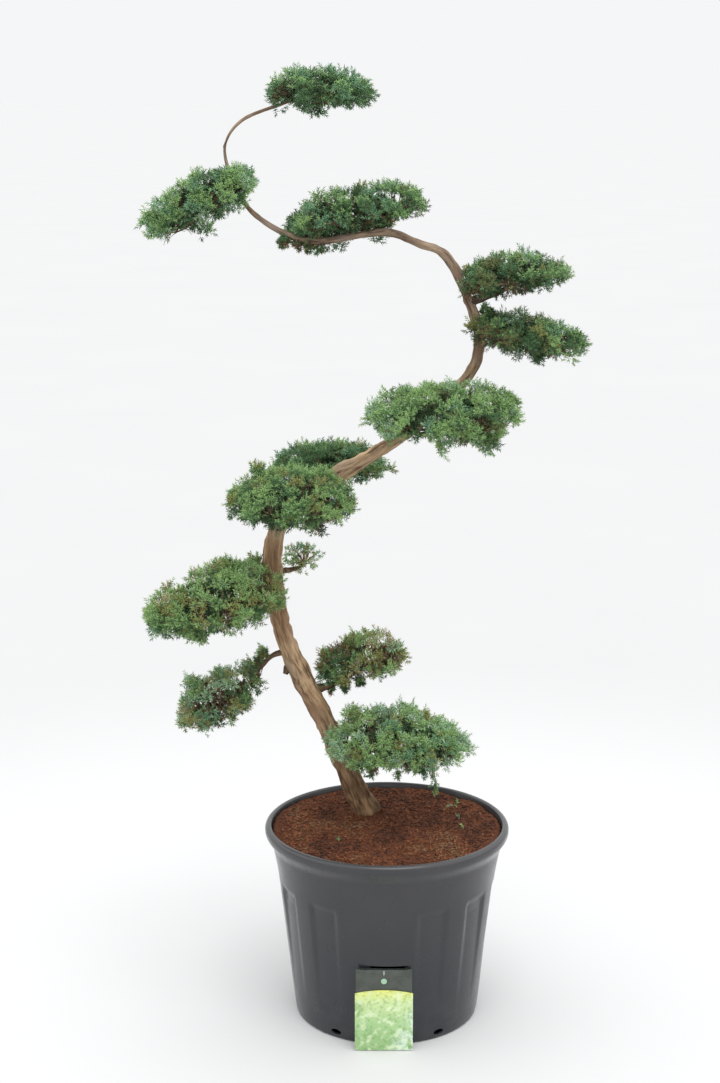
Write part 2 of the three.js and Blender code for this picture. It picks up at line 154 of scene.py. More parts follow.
# Label, in mm
LABEL_X = -9
SLOT = {"foot": 204, "top": 212, "width": 112, "depth": 10}
STRIP = {"width": 132, "foot": 120, "top": 205.5, "thick": 1.2}
STRIP_GAP = 0.3
STRIP_TONGUE = 3
STRIP_MARKS = {
    "label_stud": {"width": 4, "height": 13, "z": 196, "colour": (0.300, 0.340, 0.300, 1)},
    "label_dot": {"width": 14, "height": 14, "z": 175, "colour": (0.330, 0.520, 0.340, 1)},
}
MARK_GAP = 0.15
MARK_SIDES = 32
MARK_TAPER = 0.92
MARK_DEPTH = 0.4
CARD = {"width": 136, "foot": 2, "top": 154, "crown": 8, "thick": 1.2, "bow": 2.2}
CARD_GAP = 0.3
CARD_STEPS = 24
CARD_SHADE = 10
LABEL_SHARP_DEG = 30

# Trunk: its axis from the soil to the tip, as x, y, z and radius in mm at each station
TRUNK = [
    (-47, 98, 460, 29),
    (-146, 92, 697, 24),
    (-213, 85, 834, 23.5),
    (-254, 78, 942, 21),
    (-274, 66, 1069, 23.5),
    (-267, 56, 1177, 21.5),
    (-216, 48, 1263, 21.5),
    (-20, 42, 1382, 17.5),
    (157, 50, 1525, 14.5),
    (205, 42, 1592, 13),
    (210, 34, 1655, 12.5),
    (190, 28, 1725, 12),
    (127, 20, 1841, 10.5),
    (70, 16, 1866, 9.5),
    (-1, 10, 1892, 8.5),
    (-172, 0, 1872, 8),
    (-246, 2, 1895, 6),
    (-324, 15, 1953, 5),
    (-371, 40, 2060, 3.4),
    (-367, 40, 2098, 3.2),
    (-333, 35, 2140, 3.1),
    (-222, 20, 2184, 3.1),
]
TRUNK_NODES = ["trunk_foot", "trunk_shoulder", "trunk_elbow", "trunk_bridge", "trunk_crook", "trunk_tip"]
STUB = [(-226, 86, 862, 11), (-240, 83, 842, 9.5), (-246, 81, 826, 6.5)]
STUB_SHARP_DEG = 50
ROOT_FLARE = 7
ROOT_FLARE_HEIGHT = 70

# Boughs: from the trunk's axis to where the pad begins, in mm
BOUGHS = {
    "bottom_right": [(-119, 94, 630, 12), (-76, 70, 646, 10), (-32, 44, 656, 8)],
    "low_right": [(-188, 88, 783, 10), (-145, 106, 788, 8.5), (-106, 117, 800, 7)],
    "low_left": [(-229, 84, 884, 7), (-276, 80, 873, 5.5), (-308, 74, 842, 4.5)],
    "left": [(-273, 68, 1050, 13), (-300, 22, 1046, 11), (-334, -8, 1040, 9)],
    "middle_back": [(-117, 43, 1325, 11), (-124, 82, 1322, 9.5), (-132, 112, 1320, 8)],
    "right_lower": [(207, 32, 1676, 8), (238, 27, 1668, 7), (262, 24, 1657, 6)],
    "right_upper": [(190, 27, 1732, 8), (222, 25, 1744, 7), (250, 24, 1752, 6)],
}
BOUGH_COLLAR = 0.4
BOUGH_COLLAR_START = 0.015
BOUGH_COLLAR_LENGTH = 0.045

# How limbs are meshed: metres from ring to ring, points in a ring and the seed of the bark's relief
TRUNK_MESH = {"step": 0.006, "sides": 40, "seed": 11}
STUB_MESH = {"step": 0.003, "sides": 20, "seed": 17}
BOUGH_MESH = {"step": 0.004, "sides": 24, "seed": 30}
BOUGH_SEED_STEP = 3

# Bark from its grooves' colour to its ridges', and its relief: how far a limb swells for its radius, then
# strips, fibres and flakes by their height in metres on a thick limb, each with how many lie in a metre
# across and along. Knots stand out and are dimpled by so much.
TRUNK_COLOURS = ((0.108, 0.062, 0.036), (0.415, 0.282, 0.165))
# The boughs' colours are the trunk's bark darkened, as painted shade for limbs that sit in the pads' shade
BOUGH_SHADED_COLOURS = ((0.035, 0.020, 0.013), (0.130, 0.084, 0.052))
SWELL = 0.12
SWELL_SCALE = (26, 26, 16)
RELIEF = [(0.0036, (80, 80, 12)), (0.0012, (200, 200, 40)), (0.0024, (75, 75, 75))]
THICK_LIMB = 0.02
THICK_BETWEEN = (0.12, 1.2)
BARK_TWIST = 0.9
KNOTS = 17
KNOT_SEED = 5
KNOT_SPREAD = (0.2, 0.8)
KNOT_SIZE = (0.007, 0.014)
KNOT_TAPER = (1.25, 0.45)
KNOT_HEIGHT = 0.42
KNOT_FALL = 2.2
KNOT_DIMPLE = 0.45
KNOT_DIMPLE_FALL = 14

# Pads: centre and size (length, depth, thickness) in mm, slope up to the right in degrees, mix of tints, and
# the trunk's station where the stem starts if it has no bough. A pad narrows below and has more of its
# thickness above.
PADS = {
    "bottom_right": dict(centre=(28, 20, 671), size=(356, 285, 178), slope=-2, mix="pale"),
    "low_right": dict(centre=(-53, 128, 849), size=(258, 200, 150), slope=14, mix="olive"),
    "low_left": dict(centre=(-399, 62, 773), size=(254, 190, 146), slope=25, mix="grey"),
    "left": dict(centre=(-402, -42, 1035), size=(362, 250, 190), slope=17, mix="yellow"),
    "middle_left": dict(centre=(-224, -78, 1284), size=(302, 262, 178), slope=0, mix="mild", station=6),
    "middle_back": dict(centre=(-138, 192, 1325), size=(304, 240, 122), slope=1, mix="green"),
    "middle_right": dict(centre=(124, -62, 1476), size=(370, 290, 176), slope=2, mix="fresh", station=7.55),
    "right_lower": dict(centre=(321, 20, 1655), size=(290, 205, 122), slope=-10, mix="dull"),
    "right_upper": dict(centre=(281, 20, 1795), size=(262, 205, 124), slope=6, mix="dull"),
    "upper_middle": dict(centre=(-80, 46, 1930), size=(346, 230, 138), slope=12, mix="green", station=14.5),
    "upper_left": dict(centre=(-424, -40, 1961), size=(298, 200, 142), slope=27, mix="bright", station=17.4),
    "top": dict(centre=(-155, 20, 2206), size=(254, 215, 118), slope=-2, mix="cool", station=21),
    "tuft_back": dict(centre=(-206, 140, 1096), size=(104, 100, 100), slope=20, mix="grey", station=4.15),
}
SPARSE_PAD = "tuft_back"
LOWER_TAPER = 0.5
CROWN_SHARE = 0.54
LUMP = 0.1
HEART_DEPTH = 0.25

# Lobes that swell out of a pad's outline: centre and radius in mm
LOBES = {
    "bottom_right": [(-84, 30, 748, 24)],
    "low_right": [(-84, 125, 908, 18), (-145, 125, 866, 16)],
    "low_left": [
        (-470, 60, 815, 22), (-398, 62, 832, 18), (-334, 72, 852, 20), (-345, 62, 766, 18),
        (-488, 62, 722, 16), (-444, 62, 712, 14),
    ],
    "left": [
        (-305, 66, 1119, 27), (-272, -6, 1046, 30), (-264, -28, 1052, 20), (-294, -14, 1036, 34),
        (-382, -40, 1122, 36), (-530, -42, 1008, 38), (-444, -42, 972, 20), (-309, -42, 1018, 22),
    ],
    "middle_left": [
        (-298, -40, 1360, 22), (-92, -60, 1285, 20), (-350, -70, 1306, 20), (-325, -70, 1262, 18),
        (-105, -70, 1316, 16),
    ],
    "middle_back": [(-167, 190, 1362, 20), (-89, 190, 1362, 20)],
    "middle_right": [(262, -20, 1510, 36), (228, -70, 1436, 32), (40, -40, 1532, 18), (118, -40, 1540, 16)],
    "right_lower": [(438, 20, 1647, 22), (351, 20, 1626, 18)],
    "right_upper": [(171, 22, 1783, 20), (390, 20, 1805, 14), (214, 20, 1816, 20)],
    "upper_left": [(-328, -10, 2021, 28), (-343, -25, 2030, 24), (-530, -25, 1925, 18)],
    "top": [(-254, 20, 2197, 26), (-199, 20, 2240, 22)],
}

# Thin dry growth between a pad and the limb that bears it, in the same way, in dry brown with painted shade
DRY_LOBES = {
    "low_right": [
        (-131, 105, 802, 15), (-102, 112, 803, 18), (-141, 108, 831, 16), (-65, 112, 799, 16),
        (-138, 110, 782, 13), (-102, 110, 788, 13),
    ],
    "low_left": [(-297, 78, 878, 10), (-310, 74, 862, 12), (-322, 72, 846, 14), (-290, 80, 866, 8)],
    "right_lower": [(229, 26, 1708, 17), (238, 26, 1684, 18), (252, 24, 1655, 17)],
    "right_upper": [(188, 24, 1800, 15), (200, 24, 1776, 17), (222, 22, 1758, 16)],
    "upper_middle": [
        (-240, 0, 1873, 14), (-229, -2, 1884, 13), (-206, -4, 1869, 13), (-182, -4, 1863, 13),
        (-158, -4, 1864, 13), (-134, -4, 1869, 12), (-110, 14, 1898, 16), (-80, 16, 1900, 16),
        (-50, 18, 1904, 16), (-22, 20, 1908, 15),
    ],
}

# Hollows without any tufts, longer from front to back: centre and radius in mm
CLEARINGS = {
    "bottom_right": [
        (63, 20, 577, 36), (37, 20, 576, 30), (37, -60, 604, 26), (-14, 20, 579, 24),
        (-14, -60, 607, 22),
    ],
    "low_right": [(58, 128, 896, 22)],
    "left": [(-490, -42, 1115, 26), (-218, -42, 1094, 36), (-272, -12, 1124, 34)],
    "middle_right": [(62, -40, 1395, 56), (16, -20, 1400, 44), (298, -62, 1466, 22)],
    "top": [
        (-220, 20, 2150, 24), (-178, 20, 2140, 20), (-101, 20, 2152, 19), (-49, 20, 2157, 19),
        (-238, -40, 2203, 17), (-238, 80, 2203, 17), (-230, -20, 2188, 14),
    ],
    "upper_left": [
        (-480, -30, 1862, 46), (-509, -40, 1868, 30), (-414, -40, 1880, 24), (-519, -40, 1995, 22),
    ],
    "upper_middle": [(-26, 40, 1858, 34), (52, 40, 1918, 20)],
    "right_upper": [(415, 20, 1780, 30), (144, 20, 1772, 24), (372, 20, 1856, 24), (398, 20, 1772, 24)],
    "right_lower": [(460, 20, 1604, 38)],
}
HOLLOW_STRETCH = 0.35

# The side of a pad that is brown and twiggy and darkened as painted shade, as a direction, and how far over
# it this reaches, where 1 is least
DRY_AND_SHADED_BELOW = ((0, 0, -1), 0.52)
DRY_AND_SHADED_SIDES = {
    "low_right": ((-0.95, 0, -0.3), 0.10),
    "low_left": ((0.45, 0, -0.9), 0.15),
    "right_lower": ((-0.35, 0, -0.95), 0.02),
    "right_upper": ((-0.3, 0, -0.95), 0.05),
    "upper_middle": ((0, 0, -1), 0.12),
    "top": ((-0.12, -0.4, -0.9), 0.25),
    "middle_left": ((0, 0, -1), 0.38),
}

# Sprigs that stand or hang outside a pad's space, from root to end, in mm
SPRIGS = {
    "low_left": [((-284, 80, 872), (-302, 80, 892)), ((-290, 80, 868), (-308, 76, 880))],
    "bottom_right": [
        ((110, 12, 625), (117, 14, 552)),
        ((-30, 52, 615), (-36, 56, 576)),
        ((24, 30, 612), (28, 30, 580)),
        ((-58, 58, 622), (-75, 60, 592)),
    ],
    "right_lower": [((206, 24, 1708), (220, 18, 1722)), ((228, 24, 1664), (238, 16, 1640))],
    "low_right": [((-176, 96, 806), (-150, 84, 838)), ((-172, 98, 798), (-128, 90, 828))],
}

# Tints of the needles, as linear colours from dark to light, and how often each pad's mix deals them: its
# first, darker ones in the pad's creases as painted shade and its last, lighter ones on the lumps as painted
# light, with some stray. The darkest two tints are painted shade.
TINTS = {
    "deep_shade": (0.054, 0.098, 0.042),
    "shade": (0.100, 0.200, 0.084),
    "dry": (0.165, 0.118, 0.070),
    "bronze": (0.240, 0.168, 0.085),
    "moss": (0.185, 0.218, 0.084),
    "blue": (0.195, 0.375, 0.205),
    "mid": (0.190, 0.350, 0.138),
    "olive": (0.310, 0.325, 0.110),
    "fresh": (0.315, 0.500, 0.188),
    "straw": (0.460, 0.430, 0.240),
    "silver": (0.350, 0.530, 0.320),
}
TINT_NAMES = list(TINTS)
MIXES = {
    "cool": dict(shade=0.41, blue=0.24, mid=0.29, fresh=0.04, silver=0.02),
    "green": dict(shade=0.42, blue=0.15, mid=0.34, olive=0.03, fresh=0.06),
    "dull": dict(shade=0.42, moss=0.18, blue=0.10, mid=0.24, olive=0.04, fresh=0.02),
    "fresh": dict(shade=0.06, moss=0.05, blue=0.06, mid=0.27, fresh=0.48, silver=0.08),
    "bright": dict(shade=0.13, blue=0.23, mid=0.26, fresh=0.27, silver=0.11),
    "mild": dict(shade=0.30, mid=0.36, olive=0.12, fresh=0.22),
    "yellow": dict(shade=0.04, blue=0.02, mid=0.30, olive=0.18, fresh=0.42, straw=0.04),
    "pale": dict(blue=0.10, mid=0.04, olive=0.06, fresh=0.50, silver=0.30),
    "olive": dict(bronze=0.10, mid=0.16, olive=0.34, fresh=0.26, straw=0.10, silver=0.04),
    "grey": dict(blue=0.14, mid=0.08, olive=0.18, fresh=0.22, straw=0.13, silver=0.25),
}
# The under mix colours a pad's dry side and its dry growth: dry brown, with painted shade in its darkest
# tints
UNDER_MIX = dict(deep_shade=0.24, shade=0.34, dry=0.20, bronze=0.09, mid=0.07, olive=0.06)
# The inner mixes colour the tufts inside a pad darker, as painted shade, with some dry brown
INNER_MIX = dict(deep_shade=0.50, shade=0.38, dry=0.12)
LOOSE_INNER_MIX = dict(shade=0.36, dry=0.24, bronze=0.24, mid=0.16)
SPRIG_MIX = dict(shade=0.14, blue=0.12, mid=0.30, olive=0.06, fresh=0.34, silver=0.04)
LUMP_STRAY = 0.3
DRY_SHADE_STRAY = 0.16
ODD_SPRAYS = 0.25
HANGING = -0.25
FRESH_TIPS = 0.72

# Tufts of sprays on a pad's outside and smaller, stouter ones inside, darker as painted shade, in metres and
# shares of the pad
PAD_SEED = 100
TUFT_SPACING = 0.036
UNDERSIDE = -0.80
TUFT_DEPTH = 0.030
TUFT_DOME = 0.10
TUFT_HEART = 0.014
TUFT_OUT = 0.8
TUFT_UP = 0.45
TUFT_STRAY = 0.22
TIP_SHARE = 0.98
LUMP_HEIGHT = 0.12
LUMPS_ROUND = 3.2
LUMPS_SHIFT = 3.7
LOBE_TUFTS_LEAST = 5
DRY_TUFT_SIZE = 0.45
GAPS_ROUND = 3.1
GAPS_SEED = 40
INNER_SHARE = 0.66
INNER_UNDERSIDE = -0.35
INNER_STOUTNESS = 2.2
INNER_SPRAYS = 5

# A pad's habit: how rare its gaps are and up to what height, sprays in a tuft, and how many tufts grow inside
DENSE = dict(gaps=0.52, gaps_below=0.2, sprays=18, inner=0.60, inner_mix=INNER_MIX)
LOOSE = dict(gaps_below=0.7, sprays=15, inner=0.30, inner_mix=LOOSE_INNER_MIX)
HABITS = {"low_left": dict(LOOSE, gaps=0.22), "low_right": dict(LOOSE, gaps=0.25)}

# Twigs by kind: how far they rise for their length, points along them, radius at both ends in metres, and
# sides
STEM = dict(lift=-0.04, steps=7, sides=9)
STEM_MOST = 0.009
STEM_TAPER = 0.6
FAN = dict(lift=-0.05, steps=7, thick=0.0045, thin=0.0014, sides=6)
FAN_TWIGS = 9
FAN_REACH = 0.80
FAN_SPREAD = (0.9, 1.1)
FAN_HEIGHTS = (-0.55, 0.05)
FAN_STRAY = 0.6
TUFT_TWIG = dict(lift=-0.08, steps=4, thick=0.0021, thin=0.0008, sides=3)
TUFT_TWIG_END = 0.4
BARE_TWIG = dict(lift=0.05, steps=4, thick=0.0013, thin=0.0004, sides=3)
BARE_TWIGS = 30
BARE_LENGTH = (0.015, 0.035)
BARE_SPREAD = (1, 1, 0.5)
BARE_DROOP = 0.35
SPRIG_TWIG = dict(lift=0.0, steps=6, thick=0.0014, thin=0.0006, sides=3)
SPRIG_SPRAYS = 8
SPRIG_SPACING = 0.005
SPRIG_FROM = 0.25
SPRIG_STRAY = 0.45
SPRIG_LENGTH = (0.009, 0.017)
SPARSE_STEM = dict(lift=-0.04, steps=6, thin=0.003, sides=6)
SPARSE_SHOOT = dict(lift=0.08, steps=5, thick=0.0022, thin=0.0009, sides=4)
SPARSE_SHOOTS = 22
SPARSE_UNDERSIDE = -0.6
SPARSE_REACH = (0.35, 0.72)
SPARSE_UP = 0.3
SPARSE_SPRAYS = 6
SPARSE_LENGTH = 0.75
SPARSE_CURL = 0.1
TWIG_WANDER = 0.06
UPRIGHT = 0.8
LIMB_STEP = 0.010
LIMB_MARGIN = 0.004

# Sprays of needles, and the blades on each: lengths in metres, how far blades lean out, and how much each
# strays
SPRAY_LENGTH = (0.008, 0.016)
SPRAY_STRAY = 0.16
SPRAY_SUNK = (0.1, 1.0)
SPRAY_SHIFT = 0.002
SPRAY_CURL = 0.28
SPRAY_MIDDLE = 0.6
SPRAY_BLADES = 8
BLADE_FIRST = 0.10
BLADE_ROLL = 0.6
BLADE_LEAN_DEG = 66
BLADE_LEAN_FALL_DEG = 38
BLADE_LEAN_STRAY = 0.12
BLADE_LENGTH = 0.0105
BLADE_LENGTH_FOOT = 1.05
BLADE_LENGTH_FALL = 0.3
BLADE_LENGTH_SPREAD = (0.75, 1.2)
BLADE_RADIUS = 0.00125
BLADE_HEEL = 0.12
BLADE_NUDGE = 0.01


def unit(vectors):
    return vectors / np.maximum(np.linalg.norm(vectors, axis=-1, keepdims=True), 1e-12)


def fade(low, high, value):
    """0 below low, 1 above high and smooth between."""
    share = np.clip((value - low) / (high - low), 0, 1)
    return share * share * (3 - 2 * share)


def seeded(seed):
    """A repeatable run of numbers from 0 to 1, as the solids' lumps were drawn."""
    word = 0xFFFFFFFF
    state = seed

    def draw():
        nonlocal state
        state = (state + 0x6D2B79F5) & word
        mixed = (state ^ (state >> 15)) * (1 | state) & word
        mixed = (mixed + (mixed ^ (mixed >> 7)) * (61 | mixed) & word) ^ mixed
        return (mixed ^ (mixed >> 14)) / (word + 1)

    return draw


def soft_noise(points, seed=0):
    """Smooth noise from -1 to 1 at each point, with one lump a unit."""
    word = 0xFFFFFFFF
    cell = np.floor(points).astype(np.int64)
    part = points - cell
    part = part * part * (3 - 2 * part)
    total = np.zeros(points.shape[:-1])
    for corner in itertools.product((0, 1), repeat=3):
        x, y, z = np.moveaxis(cell + corner, -1, 0)
        mixed = (x * 374761393 + y * 668265263 + z * 1274126177 + seed * 961748927) & word
        mixed = ((mixed ^ (mixed >> 13)) * 1103515245) & word
        mixed = mixed ^ (mixed >> 16)
        weight = np.prod(np.where(corner, part, 1 - part), axis=-1)
        total += weight * mixed / word
    return 2 * total - 1


class Axis:
    """A limb's axis: a smooth curve through its stations that carries the radius along."""

    def __init__(self, stations):
        self.stations = np.array(stations, float) * MM
        place = self.stations[:, :3]
        ends = [2 * place[0] - place[1], 2 * place[-1] - place[-2]]
        self.place = np.vstack([ends[0], place, ends[1]])
        self.last = len(stations) - 1

    def at(self, station):
        """Point and radius at a station, which may lie between two."""
        span = min(int(station), self.last - 1)
        share = station - span
        p = self.place[span : span + 4]
        gaps = np.sqrt(np.linalg.norm(np.diff(p, axis=0), axis=1))
        knots = np.concatenate([[0], np.cumsum(gaps)])
        t = knots[1] + share * gaps[1]
        for low, high in ((knots[:3], knots[1:]), (knots[:2], knots[2:]), (knots[1:2], knots[2:3])):
            weight = ((t - low) / (high - low))[:, None]
            p = p[:-1] * (1 - weight) + p[1:] * weight
        radius = self.stations[span, 3] * (1 - share) + self.stations[span + 1, 3] * share
        return p[0], radius

    def sampled(self, step):
        """Points about step apart with their radii, from end to end."""
        chords = np.linalg.norm(np.diff(self.stations[:, :3], axis=0), axis=1)
        counts = np.maximum(2, np.ceil(chords / step)).astype(int)
        stations = [span + k / n for span, n in enumerate(counts) for k in range(n)] + [self.last]
        rows = [self.at(station) for station in stations]
        return np.array([p for p, _ in rows]), np.array([r for _, r in rows])


class Pad:
    """The domed, lumpy space that one pad of foliage keeps to."""

    def __init__(self, name, index):
        pad = PADS[name]
        self.name = name
        self.node = name if name == SPARSE_PAD else f"pad_{name}"
        self.centre = np.array(pad["centre"]) * MM
        self.size = np.array(pad["size"]) * MM
        self.mix = MIXES[pad["mix"]]
        self.habit = DENSE | HABITS.get(name, {})
        self.dry_way, self.dry_shaded_from = DRY_AND_SHADED_SIDES.get(name, DRY_AND_SHADED_BELOW)
        self.station = pad.get("station")
        self.seed = index + 1
        draw = seeded(self.seed)
        self.phases = [draw() * 2 * math.pi for _ in range(3)]
        slope = math.radians(pad["slope"])
        rise, run = math.sin(slope), math.cos(slope)
        self.turn = np.array([[run, 0, rise], [0, 1, 0], [-rise, 0, run]])

    def half_sizes(self, units):
        length, depth, thickness = self.size
        height = np.where(units[:, 2] > 0, CROWN_SHARE, 1 - CROWN_SHARE) * thickness
        return np.column_stack([np.tile([length / 2, depth / 2], (len(units), 1)), height])

    def points(self, units, shares):
        """The points in these directions, at shares of the way out from the middle."""
        around = np.arctan2(units[:, 1], units[:, 0])
        waves = [3 * around, 5 * around, 4 * units[:, 2]]
        lump = 1 + LUMP / 3 * sum(np.sin(wave + phase) for wave, phase in zip(waves, self.phases))
        local = units * self.half_sizes(units) * (shares * lump)[:, None]
        local[:, :2] *= 1 + LOWER_TAPER * np.minimum(units[:, 2:], 0)
        return local @ self.turn + self.centre

    def surface(self):
        """The area of a plain ellipsoid of the pad's size."""
        power = 1.6075
        a, b, c = self.size / 2
        mean = ((a * b) ** power + (a * c) ** power + (b * c) ** power) / 3
        return 4 * math.pi * mean ** (1 / power)

    def outward(self, units):
        """The directions square to the pad's surface."""
        return unit(units / self.half_sizes(units)) @ self.turn

    def heart(self):
        """Where the stem ends and the twigs begin, low in the pad."""
        return self.points(np.array([[0.0, 0.0, -1.0]]), np.array([HEART_DEPTH]))[0]

    def outside_clearings(self, tips):
        """Whether each tip lies outside the pad's clearings."""
        clear = np.ones(len(tips), bool)
        for *centre, radius in CLEARINGS.get(self.name, []):
            apart = (tips - np.array(centre) * MM) * [1, HOLLOW_STRETCH, 1]
            clear &= np.linalg.norm(apart, axis=1) > radius * MM
        return clear


# Meshes and pieces


def mesh_of(bm, name):
    mesh = bpy.data.meshes.new(name)
    bm.to_mesh(mesh)
    bm.free()
    return mesh


def mesh_from_arrays(name, vertices, triangles, tints=None):
    mesh = bpy.data.meshes.new(name)
    mesh.vertices.add(len(vertices))
    mesh.vertices.foreach_set("co", np.asarray(vertices, np.float32).ravel())
    mesh.loops.add(3 * len(triangles))
    mesh.loops.foreach_set("vertex_index", np.asarray(triangles, np.int32).ravel())
    mesh.polygons.add(len(triangles))
    mesh.polygons.foreach_set("loop_start", np.arange(0, 3 * len(triangles), 3, dtype=np.int32))
    if tints is not None:
        mesh.polygons.foreach_set("material_index", np.asarray(tints, np.int32))
    mesh.update(calc_edges=True)
    return mesh


def link(name, data):
    made = bpy.data.objects.new(name, data)
    bpy.context.scene.collection.objects.link(made)
    return made


def put(name, mesh, nodes, finishes, sharp_deg=None):
    """A finished piece of the object: smooth, in its material, riding with the frame."""
    piece = link(name, mesh)
    for finish in finishes:
        mesh.materials.append(finish)
    mesh.shade_smooth()
    if sharp_deg:
        mesh.set_sharp_from_angle(angle=math.radians(sharp_deg))
    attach(piece, "root")
    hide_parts(*nodes)


def cut(mesh, cutters):
    """The mesh with the cutters' mesh taken away from it."""
    body, tool = link("body", mesh), link("tool", cutters)
    modifier = body.modifiers.new("cut", "BOOLEAN")
    modifier.operation = "DIFFERENCE"
    modifier.object = tool
    view = bpy.context.evaluated_depsgraph_get()
    made = bpy.data.meshes.new_from_object(body.evaluated_get(view))
    for each in (body, tool):
        bpy.data.objects.remove(each)
    return made


def add_box(bm, place, size):
    """A box in the mesh, by its middle and size in mm."""
    matrix = Matrix.Translation(Vector(place) * MM) @ Matrix.Diagonal((*(Vector(size) * MM), 1))
    bmesh.ops.create_cube(bm, size=1, matrix=matrix)


# Shader building


def add(tree, kind, settings=None, **inputs):
    """A node with its settings, and each input set to a value or linked to a socket."""
    node = tree.nodes.new(f"ShaderNode{kind}")
    for name, value in (settings or {}).items():
        setattr(node, name, value)
    for name, value in inputs.items():
        feed(tree, node.inputs[name.replace("_", " ")], value)
    return node


def feed(tree, socket, value):
    if isinstance(value, bpy.types.NodeSocket):
        tree.links.new(value, socket)
    else:
        socket.default_value = value


def blend(tree, share, first, second, way="MIX"):
    """A colour between first and second."""
    node = tree.nodes.new("ShaderNodeMix")
    node.data_type = "RGBA"
    node.blend_type = way
    sockets = [s for s in node.inputs if s.enabled]
    for socket, value in zip(sockets, (share, first, second)):
        feed(tree, socket, (*value, 1) if isinstance(value, tuple) else value)
    return next(s for s in node.outputs if s.enabled)


def ramp(tree, value, *stops):
    """A colour that follows value through stops of (place, colour)."""
    node = add(tree, "ValToRGB", Fac=value)
    elements = node.color_ramp.elements
    while len(elements) < len(stops):
        elements.new(1)
    for element, (place, colour) in zip(elements, stops):
        element.position = place
        element.color = (*colour, 1)
    return node.outputs["Color"]


def maths(tree, way, first, second):
    node = tree.nodes.new("ShaderNodeMath")
    node.operation = way
    feed(tree, node.inputs[0], first)
    feed(tree, node.inputs[1], second)
    return node.outputs[0]


def ranged(tree, value, start, end, to_start=0.0, to_end=1.0, way="LINEAR"):
    """A number that goes from to_start to to_end as value goes from start to end."""
    node = add(tree, "MapRange", dict(interpolation_type=way), Value=value, To_Min=to_start, To_Max=to_end)
    feed(tree, node.inputs["From Min"], start)
    feed(tree, node.inputs["From Max"], end)
    return node.outputs["Result"]


def place_parts(tree, space="Object"):
    """Where a point lies, as X, Y and Z."""
    return add(tree, "SeparateXYZ", Vector=add(tree, "TexCoord").outputs[space]).outputs


def times(colour, *shares):
    """The colour with its parts taken times a share each, or all times the same one."""
    return tuple(part * share for part, share in zip(colour, shares if len(shares) > 1 else shares * 3))


def shared_group(name, inputs, output):
    """An empty effect with number inputs and one number output."""
    tree = bpy.data.node_groups.new(name, "ShaderNodeTree")
    for label, value in inputs.items():
        socket = tree.interface.new_socket(label, in_out="INPUT", socket_type="NodeSocketFloat")
        socket.default_value = value
    tree.interface.new_socket(output, in_out="OUTPUT", socket_type="NodeSocketFloat")
    return tree, tree.nodes.new("NodeGroupInput").outputs, tree.nodes.new("NodeGroupOutput").inputs


def use(tree, group, **inputs):
    node = tree.nodes.new("ShaderNodeGroup")
    node.node_tree = group
    for name, value in inputs.items():
        feed(tree, node.inputs[name], value)
    return node.outputs[0]


def patches(tree, share, **inputs):
    """Mottled patches of at most a share."""
    return maths(tree, "MULTIPLY", use(tree, MOTTLE, **inputs), share)


def mottle_group():
    """Soft patches of a size, as a mask from 0 to 1."""
    tree, given, result = shared_group("mottle", dict(Scale=10, Detail=3, Low=0.4, High=0.6), "Mask")
    place = add(tree, "TexCoord").outputs["Object"]
    noise = add(tree, "TexNoise", Vector=place, Scale=given["Scale"], Detail=given["Detail"])
    mask = ranged(tree, noise.outputs["Fac"], given["Low"], given["High"], way="SMOOTHSTEP")
    feed(tree, result["Mask"], mask)
    return tree


def dust_group():
    """Dust that thins out from one height to another, in patches."""
    tree, given, result = shared_group("settled_dust", dict(Thick=0.0, Gone=0.1, Scale=40), "Mask")
    place = add(tree, "TexCoord").outputs["Object"]
    height = add(tree, "SeparateXYZ", Vector=place).outputs["Z"]
    fall = ranged(tree, height, given["Gone"], given["Thick"], way="SMOOTHSTEP")
    noise = add(tree, "TexNoise", Vector=place, Scale=given["Scale"], Detail=6.0)
    patch = ranged(tree, noise.outputs["Fac"], 0.35, 0.7)
    feed(tree, result["Mask"], maths(tree, "MULTIPLY", fall, patch))
    return tree


def bark_group():
    """Long strips of bark that follow a limb, as a height from 0 to 1."""
    inputs = dict(Width=0.010, Length=0.12, Detail=5, Offset=0)
    tree, given, result = shared_group("bark_strips", inputs, "Height")
    place = add(tree, "Attribute", dict(attribute_name="straight")).outputs["Vector"]
    across = maths(tree, "DIVIDE", 1.0, given["Width"])
    along = maths(tree, "DIVIDE", 1.0, given["Length"])
    scale = add(tree, "CombineXYZ", X=across, Y=across, Z=along).outputs["Vector"]
    offset = given["Offset"]
    shift = add(tree, "CombineXYZ", X=offset, Y=offset, Z=offset).outputs["Vector"]
    shaped = add(tree, "VectorMath", dict(operation="MULTIPLY_ADD"))
    for socket, value in zip(shaped.inputs, (place, scale, shift)):
        feed(tree, socket, value)
    noise = add(tree, "TexNoise", Vector=shaped.outputs["Vector"], Scale=1.0, Detail=given["Detail"])
    feed(tree, result["Height"], noise.outputs["Fac"])
    return tree


MOTTLE = mottle_group()
DUST = dust_group()
BARK_STRIPS = bark_group()


def start_finish(name, **sockets):
    """A material with plain values on its shader: the material, its nodes and its shader."""
    material = bpy.data.materials.new(name)
    material.use_nodes = True
    shader = material.node_tree.nodes["Principled BSDF"]
    for label, value in sockets.items():
        shader.inputs[label.replace("_", " ")].default_value = value
    return material, material.node_tree, shader


def bump(tree, shader, height, distance, strength=1.0):
    node = add(tree, "Bump", Height=height, Distance=distance, Strength=strength)
    feed(tree, shader.inputs["Normal"], node.outputs["Normal"])


